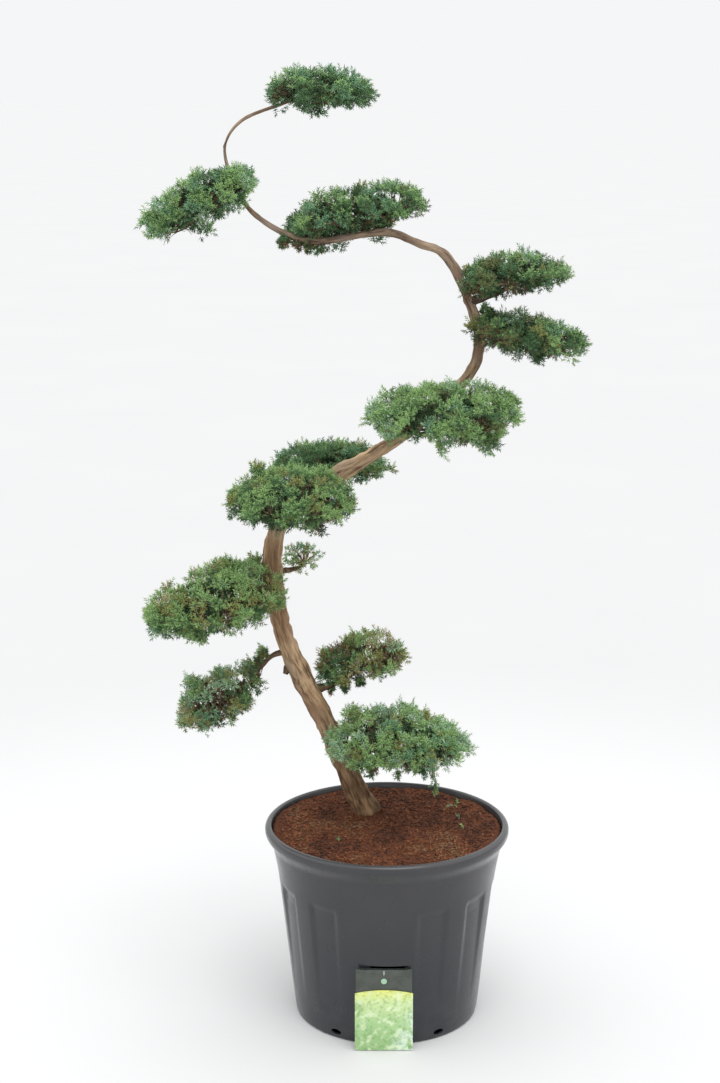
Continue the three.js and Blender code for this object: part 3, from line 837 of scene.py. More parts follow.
def bark_finish(name, dark, light):
    """Bark in fibrous strips from a dark groove colour to a light ridge colour, with grey and red patches.

    It darkens towards the trunk's foot, and is darker and greyer high up.
    """
    material, tree, shader = start_finish(name, Specular_IOR_Level=0.25)
    strips = use(tree, BARK_STRIPS, Width=0.011, Length=0.075, Detail=6.0)
    fibres = use(tree, BARK_STRIPS, Width=0.0038, Length=0.022, Detail=4.0, Offset=7.0)
    height = maths(tree, "ADD", maths(tree, "MULTIPLY", strips, 0.62), maths(tree, "MULTIPLY", fibres, 0.38))
    middle = tuple(0.45 * a + 0.55 * b for a, b in zip(dark, light))
    colour = ramp(tree, height, (0.38, dark), (0.455, middle), (0.53, light), (0.61, times(light, 1.35)))
    worn = tuple(0.95 * (0.7 * b + 0.3 * sum(light) / 3) for b in light)
    colour = blend(tree, patches(tree, 0.5, Scale=16.0, Low=0.52, High=0.66), colour, worn)
    flush = patches(tree, 0.6, Scale=9.0, Detail=4.0, Low=0.50, High=0.64)
    colour = blend(tree, flush, colour, times(light, 0.55, 0.44, 0.40))
    # Darker in patches and then all round towards the trunk's foot, and darker and greyer high up
    darker_foot_patches = use(tree, DUST, Thick=0.46, Gone=0.72, Scale=25.0)
    colour = blend(tree, darker_foot_patches, colour, times(light, 0.30, 0.25, 0.22))
    rise = place_parts(tree)["Z"]
    darker_greyer_high = ranged(tree, rise, 1.4, 1.75, way="SMOOTHSTEP")
    colour = blend(tree, darker_greyer_high, colour, (0.66, 0.70, 0.82), "MULTIPLY")
    foot = ranged(tree, rise, 0.72, 0.47, way="SMOOTHSTEP")
    colour = blend(tree, foot, colour, (0.70, 0.64, 0.58), "MULTIPLY")
    feed(tree, shader.inputs["Base Color"], colour)
    feed(tree, shader.inputs["Roughness"], ranged(tree, height, 0.3, 0.7, 0.95, 0.72))
    bump(tree, shader, height, 0.007)
    return material


def twig_finish():
    """Brown twigs, paler in places."""
    material, tree, shader = start_finish("juniper_twig", Roughness=0.85, Specular_IOR_Level=0.2)
    patch = use(tree, MOTTLE, Scale=90.0, Detail=4.0, Low=0.35, High=0.68)
    feed(tree, shader.inputs["Base Color"], blend(tree, patch, (0.062, 0.036, 0.020), (0.185, 0.125, 0.078)))
    return material


def needle_finishes():
    """One plain tint a material, dealt out to the sprays."""
    plain = dict(Roughness=0.55, Specular_IOR_Level=0.3)
    tints = TINTS.items()
    return [start_finish(f"needles_{name}", Base_Color=(*colour, 1), **plain)[0] for name, colour in tints]


def pot_finish():
    """Black-grey moulded plastic: satin, lighter up the wall as painted sheen and darker and bluer low as
    painted shade, a little dusty near the foot, with faint scuffs.
    """
    material, tree, shader = start_finish("pot_plastic", Specular_IOR_Level=0.5)
    # Painted light: the wall grows lighter upwards, a painted sheen of the light from above, and is darker
    # and bluer near the foot
    painted_upper_light = ranged(tree, place_parts(tree)["Z"], 0.10, 0.42)
    colour = blend(tree, painted_upper_light, (0.021, 0.024, 0.030), (0.040, 0.040, 0.042))
    cloud = patches(tree, 0.5, Scale=7.0, Detail=5.0, Low=0.30, High=0.72)
    colour = blend(tree, cloud, colour, (0.021, 0.023, 0.027))
    dust = maths(tree, "MULTIPLY", use(tree, DUST, Thick=0.0, Gone=0.20, Scale=30.0), 0.16)
    colour = blend(tree, dust, colour, (0.110, 0.102, 0.092))
    speck = patches(tree, 0.3, Scale=260.0, Detail=2.0, Low=0.68, High=0.76)
    feed(tree, shader.inputs["Base Color"], blend(tree, speck, colour, (0.100, 0.098, 0.095)))
    scuff = use(tree, MOTTLE, Scale=28.0, Detail=8.0, Low=0.35, High=0.7)
    feed(tree, shader.inputs["Roughness"], ranged(tree, scuff, 0.0, 1.0, 0.19, 0.28))
    grain = add(tree, "TexNoise", Vector=add(tree, "TexCoord").outputs["Object"], Scale=900.0, Detail=2.0)
    bump(tree, shader, grain.outputs["Fac"], 0.0004, 0.25)
    return material


def soil_finish():
    """Red-brown compost of bark and coir."""
    material, tree, shader = start_finish("compost", Roughness=0.95, Specular_IOR_Level=0.15)
    crumbs = use(tree, MOTTLE, Scale=120.0, Detail=6.0, Low=0.3, High=0.7)
    cloud = use(tree, MOTTLE, Scale=14.0, Detail=4.0, Low=0.35, High=0.65)
    fine = blend(tree, crumbs, (0.056, 0.021, 0.012), (0.180, 0.063, 0.029))
    feed(tree, shader.inputs["Base Color"], blend(tree, cloud, fine, (0.105, 0.038, 0.018)))
    bump(tree, shader, crumbs, 0.004)
    return material


def chip_finish(name, colour):
    """One tint of bark chip, with a darker and a paler side."""
    material, tree, shader = start_finish(name, Roughness=0.9, Specular_IOR_Level=0.2)
    grain = use(tree, MOTTLE, Scale=170.0, Detail=4.0, Low=0.35, High=0.65)
    feed(tree, shader.inputs["Base Color"], blend(tree, grain, times(colour, 0.55), colour))
    return material


def strip_finish():
    """Dark grey-green plastic film."""
    material, tree, shader = start_finish("label_strip_film", Specular_IOR_Level=0.5)
    haze = use(tree, MOTTLE, Scale=35.0, Detail=4.0, Low=0.35, High=0.7)
    feed(tree, shader.inputs["Base Color"], blend(tree, haze, (0.050, 0.058, 0.048), (0.072, 0.082, 0.070)))
    feed(tree, shader.inputs["Roughness"], ranged(tree, haze, 0.0, 1.0, 0.22, 0.40))
    return material


def card_finish():
    """Blank printed card in leafy greens: yellow at the head, darker to the left, paler low on the right."""
    material, tree, shader = start_finish("label_card_print", Roughness=0.35, Specular_IOR_Level=0.5)
    place = place_parts(tree)
    rise = ranged(tree, place["Z"], CARD["foot"] * MM, CARD["top"] * MM)
    wash = ramp(
        tree,
        rise,
        (0.0, (0.275, 0.450, 0.190)),
        (0.45, (0.375, 0.575, 0.265)),
        (0.8, (0.575, 0.720, 0.340)),
        (1.0, (0.730, 0.760, 0.190)),
    )
    half = CARD["width"] / 2
    left = ranged(tree, place["X"], (LABEL_X + CARD_SHADE) * MM, (LABEL_X - half) * MM)
    shady = maths(tree, "MULTIPLY", left, use(tree, MOTTLE, Scale=30.0, Low=0.35, High=0.6))
    colour = blend(tree, maths(tree, "MULTIPLY", shady, 0.6), wash, (0.190, 0.370, 0.110))
    right = ranged(tree, place["X"], LABEL_X * MM, (LABEL_X + half) * MM)
    low = maths(tree, "SUBTRACT", right, rise)
    misty = maths(tree, "MULTIPLY", low, use(tree, MOTTLE, Scale=45.0, Low=0.35, High=0.55))
    colour = blend(tree, ranged(tree, misty, 0.05, 0.5, 0.0, 0.75), colour, (0.660, 0.800, 0.680))
    leaves = patches(tree, 0.42, Scale=130.0, Detail=6.0, Low=0.48, High=0.66)
    colour = blend(tree, leaves, colour, (0.110, 0.250, 0.070))
    glints = patches(tree, 0.6, Scale=60.0, Detail=6.0, Low=0.48, High=0.66)
    feed(tree, shader.inputs["Base Color"], blend(tree, glints, colour, (0.740, 0.850, 0.580)))
    return material


# Limbs


def carried_frames(points):
    """Two directions square to the path at each point, carried along it without twist."""
    along = unit(np.gradient(points, axis=0))
    across = np.zeros_like(points)
    side = np.cross(along[0], [0.0, 1.0, 0.0])
    for k, way in enumerate(along):
        side = side - way * (side @ way)
        side = side / np.linalg.norm(side)
        across[k] = side
    return across, np.cross(along, across)


def lengths_along(points):
    """How far along a path each of its points lies."""
    return np.concatenate([[0], np.cumsum(np.linalg.norm(np.diff(points, axis=0), axis=1))])


def bark_relief(straight, radius, seed):
    """How far the bark stands out, at points of the limb as if it were straight."""
    thick = np.clip(radius / THICK_LIMB, *THICK_BETWEEN)
    relief = SWELL * radius * soft_noise(straight * SWELL_SCALE, seed)
    for offset, (height, scale) in enumerate(RELIEF, 1):
        relief = relief + height * thick * soft_noise(straight * scale, seed + offset)
    return relief


def knot_relief(straight, radius, knots):
    """The humps left where side shoots were cut off, each at a length along, a turn and a size."""
    turn = np.arctan2(straight[:, 1], straight[:, 0])
    relief = np.zeros(len(straight))
    for along, place, size in knots:
        apart = (turn - place + math.pi) % (2 * math.pi) - math.pi
        far = ((straight[:, 2] - along) ** 2 + (radius * apart) ** 2) / size**2
        dimple = KNOT_DIMPLE * np.exp(-KNOT_DIMPLE_FALL * far)
        relief += KNOT_HEIGHT * size * (np.exp(-KNOT_FALL * far) - dimple)
    return relief


def limb_mesh(name, points, radii, sides, seed, knots=()):
    """A closed limb with the relief of its bark, and a map of the limb laid straight for its finish."""
    rings = len(points)
    length = lengths_along(points)
    across, over = carried_frames(points)
    bm = bmesh.new()
    straight_layer = bm.verts.layers.float_vector.new("straight")
    bmesh.ops.create_grid(bm, x_segments=rings - 1, y_segments=sides, size=1)
    flat = np.array([vertex.co for vertex in bm.verts])
    ring = np.rint((flat[:, 0] + 1) / 2 * (rings - 1)).astype(int)
    angle = (flat[:, 1] + 1) * math.pi
    radius = radii[ring]
    turned = angle + BARK_TWIST * length[ring]
    straight = np.stack([radius * np.cos(turned), radius * np.sin(turned), length[ring]], axis=1)
    reach = radius + bark_relief(straight, radius, seed) + knot_relief(straight, radius, knots)
    spokes = np.cos(angle)[:, None] * across[ring] + np.sin(angle)[:, None] * over[ring]
    place = points[ring] + reach[:, None] * spokes
    for vertex, point, laid in zip(bm.verts, place, straight):
        vertex.co = point
        vertex[straight_layer] = laid
    bmesh.ops.remove_doubles(bm, verts=bm.verts, dist=MERGE_DISTANCE)
    bmesh.ops.holes_fill(bm, edges=[edge for edge in bm.edges if edge.is_boundary], sides=0)
    bmesh.ops.recalc_face_normals(bm, faces=bm.faces)
    return mesh_of(bm, name)


def trunk_knots(length):
    """Cut side shoots up the trunk, by a seeded rule."""
    draw = np.random.default_rng(KNOT_SEED)
    along = (np.arange(KNOTS) + draw.uniform(*KNOT_SPREAD, KNOTS)) / KNOTS * length
    size = draw.uniform(*KNOT_SIZE, KNOTS) * np.linspace(*KNOT_TAPER, KNOTS)
    return list(zip(along, draw.uniform(-math.pi, math.pi, KNOTS), size))


def build_trunk(bark, shaded_stub_bark):
    axis = Axis(TRUNK)
    points, radii = axis.sampled(TRUNK_MESH["step"])
    rise = np.clip((points[:, 2] / MM - GROUND) / ROOT_FLARE_HEIGHT, 0, 1)
    radii = radii + ROOT_FLARE * MM * (1 - rise) ** 2
    knots = trunk_knots(lengths_along(points)[-1])
    mesh = limb_mesh("trunk_bark", points, radii, TRUNK_MESH["sides"], TRUNK_MESH["seed"], knots)
    put("trunk_bark", mesh, TRUNK_NODES, [bark])
    points, radii = Axis(STUB).sampled(STUB_MESH["step"])
    mesh = limb_mesh("pruned_stub", points, radii, STUB_MESH["sides"], STUB_MESH["seed"])
    put("pruned_stub", mesh, ["trunk_foot"], [shaded_stub_bark], STUB_SHARP_DEG)
    return axis


def build_boughs(bark):
    axes = {}
    collar_end = BOUGH_COLLAR_START + BOUGH_COLLAR_LENGTH
    for index, (name, stations) in enumerate(BOUGHS.items()):
        axes[name] = Axis(stations)
        points, radii = axes[name].sampled(BOUGH_MESH["step"])
        collar = 1 + BOUGH_COLLAR * (1 - fade(BOUGH_COLLAR_START, collar_end, lengths_along(points)))
        seed = BOUGH_MESH["seed"] + BOUGH_SEED_STEP * index
        mesh = limb_mesh(f"bark_{name}", points, radii * collar, BOUGH_MESH["sides"], seed)
        put(f"bark_{name}", mesh, [f"bough_{name}"], [bark])
    return axes


# Foliage


def golden_directions(count, lowest, draw):
    """Even directions from straight up down to a lowest height."""
    height = 1 + (lowest - 1) * (np.arange(count) + 0.5) / count
    around = np.arange(count) * GOLDEN_ANGLE + draw.uniform(-GOLDEN_STRAY, GOLDEN_STRAY, count)
    flat = np.sqrt(1 - height**2)
    return np.stack([flat * np.cos(around), flat * np.sin(around), height], axis=1)


def tubes(paths, radii, sides):
    """Closed tapering twigs along paths of as many points each: vertices and triangles."""
    count, rings = paths.shape[:2]
    along = unit(np.gradient(paths, axis=1))
    chord = unit(paths[:, -1] - paths[:, 0])
    away = np.where(np.abs(chord[:, 2:]) < UPRIGHT, UP, np.array([1.0, 0.0, 0.0]))
    across = unit(np.cross(along, away[:, None]))
    over = np.cross(along, across)
    angle = np.arange(sides) * 2 * math.pi / sides
    spokes = across[:, :, None] * np.cos(angle)[:, None] + over[:, :, None] * np.sin(angle)[:, None]
    vertices = paths[:, :, None] + radii[:, :, None, None] * spokes
    k = np.arange(sides)
    low = np.arange(rings - 1)[:, None] * sides
    a, b = low + k, low + (k + 1) % sides
    halves = [np.stack([a, b, b + sides], -1), np.stack([a, b + sides, a + sides], -1)]
    walls = np.stack(halves).reshape(-1, 3)
    fan = np.stack([np.zeros(sides - 2, int), k[1:-1], k[2:]], axis=1)
    one = np.vstack([walls, fan[:, ::-1], fan + (rings - 1) * sides])
    triangles = one + np.arange(count)[:, None, None] * rings * sides
    return vertices.reshape(-1, 3), triangles.reshape(-1, 3)


def bent_paths(starts, ends, lift, steps, draw):
    """Curved ways from starts to ends that rise or sag by lift of their length, with a little wander."""
    share = np.linspace(0, 1, steps)
    length = np.linalg.norm(ends - starts, axis=1)[:, None, None]
    hump = (4 * share * (1 - share))[None, :, None]
    wander = draw.normal(0, TWIG_WANDER, (len(starts), 1, 3)) + lift * UP
    straight = starts[:, None] * (1 - share)[:, None] + ends[:, None] * share[:, None]
    return straight + hump * length * wander


def spray_blades(roots, ways, lengths, curls, draw, stoutness=1):
    """Feathery sprays: slim three-sided awls set round each spray's stem by the golden angle.

    It gives the vertices, the triangles and how far up its spray each triangle sits.
    """
    count = len(roots)
    each = (count, SPRAY_BLADES)
    share = np.linspace(BLADE_FIRST, 1, SPRAY_BLADES)
    away = unit(draw.normal(size=(count, 3)))
    across = unit(np.cross(ways, away))
    over = np.cross(ways, across)
    roll = np.arange(SPRAY_BLADES) * GOLDEN_ANGLE + draw.uniform(0, BLADE_ROLL, each)
    lean = np.radians(BLADE_LEAN_DEG - BLADE_LEAN_FALL_DEG * share) + draw.normal(0, BLADE_LEAN_STRAY, each)
    reach = BLADE_LENGTH * (BLADE_LENGTH_FOOT - BLADE_LENGTH_FALL * share)
    reach = reach * draw.uniform(*BLADE_LENGTH_SPREAD, each)
    stem = (lengths[:, None] * share)[:, :, None] * ways[:, None]
    stem = stem + (lengths[:, None] * curls[:, None] * share**2)[:, :, None] * UP
    foot = roots[:, None] + stem
    radial = np.cos(roll)[:, :, None] * across[:, None] + np.sin(roll)[:, :, None] * over[:, None]
    blade = np.cos(lean)[:, :, None] * ways[:, None] + np.sin(lean)[:, :, None] * radial
    side = unit(np.cross(blade, radial + BLADE_NUDGE * ways[:, None]))
    face = np.cross(blade, side)
    heel = foot + BLADE_HEEL * reach[:, :, None] * blade
    corners = [
        heel + stoutness * BLADE_RADIUS * (math.cos(a) * side + math.sin(a) * face)
        for a in (0, 2 * math.pi / 3, 4 * math.pi / 3)
    ]
    vertices = np.stack([*corners, foot + reach[:, :, None] * blade], axis=2)
    one = np.array([(0, 1, 3), (1, 2, 3), (2, 0, 3), (0, 2, 1)])
    triangles = one + np.arange(count * SPRAY_BLADES)[:, None, None] * 4
    return vertices.reshape(-1, 3), triangles.reshape(-1, 3), np.tile(np.repeat(share, len(one)), count)


def spray_bunch(bases, ways, per_tuft, draw, size=1):
    """The sprays of each tuft, spread over a dome: roots, directions, lengths and whose tuft each is."""
    tuft = np.repeat(np.arange(len(bases)), per_tuft)
    order = np.tile(np.arange(per_tuft), len(bases))
    ahead = 1 + (TUFT_DOME - 1) * (order + 0.5) / per_tuft
    around = order * GOLDEN_ANGLE + draw.uniform(0, 2 * math.pi, len(bases))[tuft]
    across = unit(np.cross(ways, unit(draw.normal(size=ways.shape))))
    over = np.cross(ways, across)
    aside = np.cos(around)[:, None] * across[tuft] + np.sin(around)[:, None] * over[tuft]
    spread = ahead[:, None] * ways[tuft] + np.sqrt(1 - ahead**2)[:, None] * aside
    spray_ways = unit(spread + draw.normal(0, SPRAY_STRAY, spread.shape))
    sunk = size * TUFT_HEART * draw.uniform(*SPRAY_SUNK, (len(tuft), 1))
    roots = bases[tuft] + sunk * spread + draw.normal(0, SPRAY_SHIFT, spread.shape)
    return roots, spray_ways, size * draw.uniform(*SPRAY_LENGTH, len(tuft)), tuft


def clear_of_limbs(points, limbs):
    place, radius = limbs
    apart = np.linalg.norm(points[:, None] - place[None], axis=2)
    return (apart > radius + LIMB_MARGIN).all(axis=1)


def dealt_tints(mix, count, draw):
    """A tint for each of so many, by the mix's shares."""
    names = [TINT_NAMES.index(name) for name in mix]
    return draw.choice(names, size=count, p=np.array(list(mix.values())) / sum(mix.values()))


def ranked_tints(mix, scores):
    """A tint for each score, the mix's first ones where the score is low."""
    names = [TINT_NAMES.index(name) for name in mix]
    rank = (np.argsort(np.argsort(scores)) + 0.5) / len(scores)
    steps = np.cumsum(list(mix.values())) / sum(mix.values())
    return np.array(names)[np.minimum(np.searchsorted(steps, rank), len(names) - 1)]


def tuft_tints(pad, units, lumps, draw):
    """A tint for each tuft: dark in the pad's creases and light on its lumps, as painted shade and light, and
    brown and dark on its dry side.
    """
    green = ranked_tints(pad.mix, lumps + draw.normal(0, LUMP_STRAY, len(lumps)))
    dry = dealt_tints(UNDER_MIX, len(lumps), draw)
    dryness_and_shade = units @ np.array(pad.dry_way) + draw.normal(0, DRY_SHADE_STRAY, len(lumps))
    return np.where(dryness_and_shade > pad.dry_shaded_from, dry, green)


def spray_tints(mix, tufts, ways, draw):
    """The tuft's tint on most sprays, another of the mix on a few, and the darker shade tint, as painted
    shade, on middling ones that hang.
    """
    other = dealt_tints(mix, len(tufts), draw)
    tints = np.where(draw.uniform(size=len(tufts)) < ODD_SPRAYS, other, tufts)
    hang = (ways[:, 2] < HANGING) & (tints == TINT_NAMES.index("mid"))
    return np.where(hang, TINT_NAMES.index("shade"), tints)


def joined(parts):
    """The parts as one: vertices, triangles and, where the parts have them, tints."""
    offsets = np.cumsum([0] + [len(part[0]) for part in parts])
    vertices = np.vstack([part[0] for part in parts])
    triangles = np.vstack([part[1] + offset for part, offset in zip(parts, offsets)])
    tints = np.concatenate([part[2] for part in parts]) if len(parts[0]) > 2 else None
    return vertices, triangles, tints


class Growth:
    """What one pad grows: its twigs and its sprays, gathered as it goes."""

    def __init__(self):
        self.twigs = []
        self.sprays = []

    def add_twigs(self, starts, ends, draw, lift, steps, thick, thin, sides):
        """Tapering twigs from starts to ends; gives the paths that they follow."""
        paths = bent_paths(starts, ends, lift, steps, draw)
        radii = np.tile(np.linspace(thick, thin, steps), (len(paths), 1))
        self.twigs.append(tubes(paths, radii, sides))
        return paths

    def add_sprays(self, roots, ways, lengths, curls, tints, draw, stoutness=1):
        """Sprays in their tints, with fresh tips on the middling ones."""
        if not len(roots):
            return
        vertices, triangles, share = spray_blades(roots, ways, lengths, curls, draw, stoutness)
        tint = np.repeat(tints, len(triangles) // len(roots))
        tips = (share > FRESH_TIPS) & (tint == TINT_NAMES.index("mid"))
        tint = np.where(tips, TINT_NAMES.index("fresh"), tint)
        self.sprays.append((vertices, triangles, tint))

    def put(self, pad, needles, twig):
        kinds = (("twigs", self.twigs, "bark", [twig]), ("needles", self.sprays, "needles", needles))
        for kind, parts, slot, finishes in kinds:
            name = f"{kind}_{pad.name}"
            put(name, mesh_from_arrays(name, *joined(parts)), [pad.node], finishes)


def grow_fan(growth, pad, start, radius, draw):
    """The pad's stem and the fan of twigs that spreads from its heart; gives points along the fan."""
    heart = pad.heart()
    growth.add_twigs(start[None], heart[None], draw, thick=radius, thin=STEM_TAPER * radius, **STEM)
    around = (np.arange(FAN_TWIGS) + draw.uniform(0, FAN_STRAY, FAN_TWIGS)) / FAN_TWIGS * 2 * math.pi
    height = draw.uniform(*FAN_HEIGHTS, FAN_TWIGS)
    units = unit(np.stack([np.cos(around), np.sin(around), height], axis=1))
    tips = pad.points(units, draw.uniform(*FAN_SPREAD, FAN_TWIGS) * FAN_REACH)
    twig = dict(FAN, thick=min(FAN["thick"], STEM_TAPER * radius))
    paths = growth.add_twigs(np.repeat(heart[None], FAN_TWIGS, axis=0), tips, draw, **twig)
    return paths[:, 1:].reshape(-1, 3)


def tuft_ways(outward, draw):
    """The directions in which tufts grow: outwards and up."""
    return unit(TUFT_OUT * outward + TUFT_UP * UP + draw.normal(0, TUFT_STRAY, outward.shape))


def grow_tufts(growth, fan, tips, ways, tints, mix, per_tuft, limbs, draw, stoutness=1, size=1):
    """Tufts of sprays that end near the tips, each on a twig from the nearest part of the fan."""
    bases = tips - size * TUFT_DEPTH * ways
    keep = clear_of_limbs(bases, limbs)
    tints, ways, bases = tints[keep], ways[keep], bases[keep]
    apart = np.linalg.norm(bases[:, None] - fan[None], axis=2)
    starts = fan[np.argmin(apart, axis=1)]
    growth.add_twigs(starts, bases + TUFT_TWIG_END * size * TUFT_DEPTH * ways, draw, **TUFT_TWIG)
    roots, spray_ways, lengths, tuft = spray_bunch(bases, ways, per_tuft, draw, size)
    clear = clear_of_limbs(roots + SPRAY_MIDDLE * lengths[:, None] * spray_ways, limbs)
    roots, spray_ways, lengths, tuft = roots[clear], spray_ways[clear], lengths[clear], tuft[clear]
    curls = draw.uniform(0, SPRAY_CURL, len(roots))
    dealt = spray_tints(mix, tints[tuft], spray_ways, draw)
    growth.add_sprays(roots, spray_ways, lengths, curls, dealt, draw, stoutness)


def grow_lobes(growth, pad, fan, limbs, draw):
    """The pad's lobes, small round bunches of tufts, and the thin dry growth by its limb, in dry brown with
    painted shade.
    """
    fresh = [(lobe, pad.mix, 1) for lobe in LOBES.get(pad.name, [])]
    dry = [(lobe, UNDER_MIX, DRY_TUFT_SIZE) for lobe in DRY_LOBES.get(pad.name, [])]
    for (*centre, radius), mix, size in fresh + dry:
        spacing = math.sqrt(size) * TUFT_SPACING
        area = 2 * math.pi * (radius * MM) ** 2 * (1 - UNDERSIDE)
        count = max(LOBE_TUFTS_LEAST, round(area / spacing**2))
        units = golden_directions(count, UNDERSIDE, draw)
        ways = tuft_ways(units, draw)
        tips = np.array(centre) * MM + radius * MM * units
        tints = dealt_tints(mix, count, draw)
        per_tuft = round(math.sqrt(size) * DENSE["sprays"])
        grow_tufts(growth, fan, tips, ways, tints, mix, per_tuft, limbs, draw, size=size)


def grow_bare_twigs(growth, fan, draw):
    """Short dry twigs under the pad."""
    starts = fan[draw.integers(0, len(fan), BARE_TWIGS)]
    ways = unit(draw.normal(0, 1, (BARE_TWIGS, 3)) * BARE_SPREAD - BARE_DROOP * UP)
    ends = starts + draw.uniform(*BARE_LENGTH, BARE_TWIGS)[:, None] * ways
    growth.add_twigs(starts, ends, draw, **BARE_TWIG)


def grow_sprigs(growth, pad, draw):
    """The pad's loose sprigs: a fine twig each, with sprays up most of it."""
    for root, end in SPRIGS.get(pad.name, []):
        root, end = np.array(root) * MM, np.array(end) * MM
        growth.add_twigs(root[None], end[None], draw, **SPRIG_TWIG)
        count = SPRIG_SPRAYS + round(np.linalg.norm(end - root) / SPRIG_SPACING)
        share = draw.uniform(SPRIG_FROM, 1, count)
        roots = root + share[:, None] * (end - root)
        ways = unit(unit(end - root) + draw.normal(0, SPRIG_STRAY, (count, 3)))
        tints = dealt_tints(SPRIG_MIX, count, draw)
        growth.add_sprays(roots, ways, draw.uniform(*SPRIG_LENGTH, count), np.zeros(count), tints, draw)


def grow_pad(pad, start, radius, limbs, needles, twig):
    """One dense, clipped pad."""
    draw = np.random.default_rng(PAD_SEED + pad.seed)
    growth = Growth()
    habit = pad.habit
    fan = grow_fan(growth, pad, start, radius, draw)
    count = round(pad.surface() * (1 - UNDERSIDE) / 2 / TUFT_SPACING**2)
    units = golden_directions(count, UNDERSIDE, draw)
    gaps = soft_noise(units * GAPS_ROUND, pad.seed + GAPS_SEED) > habit["gaps"]
    units = units[~(gaps & (units[:, 2] < habit["gaps_below"]))]
    lumps = soft_noise(units * LUMPS_ROUND + pad.seed * LUMPS_SHIFT, pad.seed)
    tips = pad.points(units, TIP_SHARE + LUMP_HEIGHT * lumps)
    here = pad.outside_clearings(tips)
    units, lumps, tips = units[here], lumps[here], tips[here]
    ways = tuft_ways(pad.outward(units), draw)
    tints = tuft_tints(pad, units, lumps, draw)
    grow_tufts(growth, fan, tips, ways, tints, pad.mix, habit["sprays"], limbs, draw)
    inside = golden_directions(round(count * habit["inner"]), INNER_UNDERSIDE, draw)
    tips = pad.points(inside, np.full(len(inside), INNER_SHARE))
    here = pad.outside_clearings(tips)
    inside, tips = inside[here], tips[here]
    ways = tuft_ways(pad.outward(inside), draw)
    # The inside tufts take the inner mix: darker tints as painted shade, with some dry brown
    mix = habit["inner_mix"]
    tints = dealt_tints(mix, len(inside), draw)
    grow_tufts(growth, fan, tips, ways, tints, mix, INNER_SPRAYS, limbs, draw, INNER_STOUTNESS)
    grow_lobes(growth, pad, fan, limbs, draw)
    grow_bare_twigs(growth, fan, draw)
    grow_sprigs(growth, pad, draw)
    growth.put(pad, needles, twig)


def grow_sparse_tuft(pad, start, radius, limbs, needles, twig):
    """A small open tuft: a few bare shoots with sprays on their ends."""
    draw = np.random.default_rng(PAD_SEED + pad.seed)
    growth = Growth()
    heart = pad.heart()
    growth.add_twigs(start[None], heart[None], draw, thick=radius, **SPARSE_STEM)
    units = golden_directions(SPARSE_SHOOTS, SPARSE_UNDERSIDE, draw)
    tips = pad.points(units, draw.uniform(*SPARSE_REACH, SPARSE_SHOOTS))
    growth.add_twigs(np.repeat(heart[None], SPARSE_SHOOTS, axis=0), tips, draw, **SPARSE_SHOOT)
    ways = unit(pad.outward(units) + SPARSE_UP * UP)
    roots, spray_ways, lengths, tuft = spray_bunch(tips, ways, SPARSE_SPRAYS, draw)
    tints = dealt_tints(pad.mix, SPARSE_SHOOTS, draw)[tuft]
    curls = np.full(len(roots), SPARSE_CURL)
    growth.add_sprays(roots, spray_ways, SPARSE_LENGTH * lengths, curls, tints, draw)
    growth.put(pad, needles, twig)


def build_foliage(trunk, boughs, needles, twig):
    sampled = [axis.sampled(LIMB_STEP) for axis in (trunk, *boughs.values())]
    limbs = np.vstack([points for points, _ in sampled]), np.concatenate([radii for _, radii in sampled])
    for index, name in enumerate(PADS):
        pad = Pad(name, index)
        start, radius = trunk.at(pad.station) if pad.station else boughs[name].at(boughs[name].last)
        grow = grow_sparse_tuft if name == SPARSE_PAD else grow_pad
        grow(pad, start, min(radius, STEM_MOST), limbs, needles, twig)


def lay_fallen_sprays(needles):
    """A few green sprays that have dropped on the soil."""
    draw = np.random.default_rng(FALLEN_SEED)
    places = np.array(FALLEN_SPRAYS) * MM
    count = len(places)
    roots = np.column_stack([places, soil_height(places[:, 0], places[:, 1]) + FALLEN_LIFT])
    around = draw.uniform(0, 2 * math.pi, count)
    ways = unit(np.stack([np.cos(around), np.sin(around), np.full(count, FALLEN_TILT)], axis=1))
    growth = Growth()
    lengths = draw.uniform(*FALLEN_LENGTH, count)
    tints = dealt_tints(SPRIG_MIX, count, draw)
    growth.add_sprays(roots, ways, lengths, np.zeros(count), tints, draw)
    mesh = mesh_from_arrays("fallen_sprays", *joined(growth.sprays))
    put("fallen_sprays", mesh, ["soil"], needles)


# Pot, soil and label


def wall_radius(z):
    return BASE_RADIUS + (NECK_RADIUS - BASE_RADIUS) * z / (POT_HEIGHT - RIM_HEIGHT)


def arc(x, z, radius, start_deg, end_deg, steps):
    """Points on an arc of a half section."""
    angles = np.radians(np.linspace(start_deg, end_deg, steps + 1))
    return [(x + radius * math.cos(a), z + radius * math.sin(a)) for a in angles]


def spun(section, steps):
    """A half section (radius and height in mm) turned once round the Z axis."""
    bm = bmesh.new()
    corners = [bm.verts.new((r * MM, 0, z * MM)) for r, z in section]
    for first, second in zip(corners, corners[1:]):
        bm.edges.new((first, second))
    bmesh.ops.spin(
        bm,
        geom=bm.verts[:] + bm.edges[:],
        cent=(0, 0, 0),
        axis=(0, 0, 1),
        dvec=(0, 0, 0),
        angle=2 * math.pi,
        steps=steps,
        use_merge=True,
        use_duplicate=False,
    )
    bmesh.ops.remove_doubles(bm, verts=bm.verts, dist=MERGE_DISTANCE)
    bmesh.ops.recalc_face_normals(bm, faces=bm.faces)
    return bm


def flared_radius(z):
    """The outer radius above the panels: the neck opens a little, then the bead stands out."""
    neck = FLARE * fade(FLARE_FOOT, BEAD_TOP + FLARE_PAST, z)
    return wall_radius(z) + neck + (RIM_OVERHANG - FLARE) * fade(BEAD_FOOT, BEAD_TOP, z)


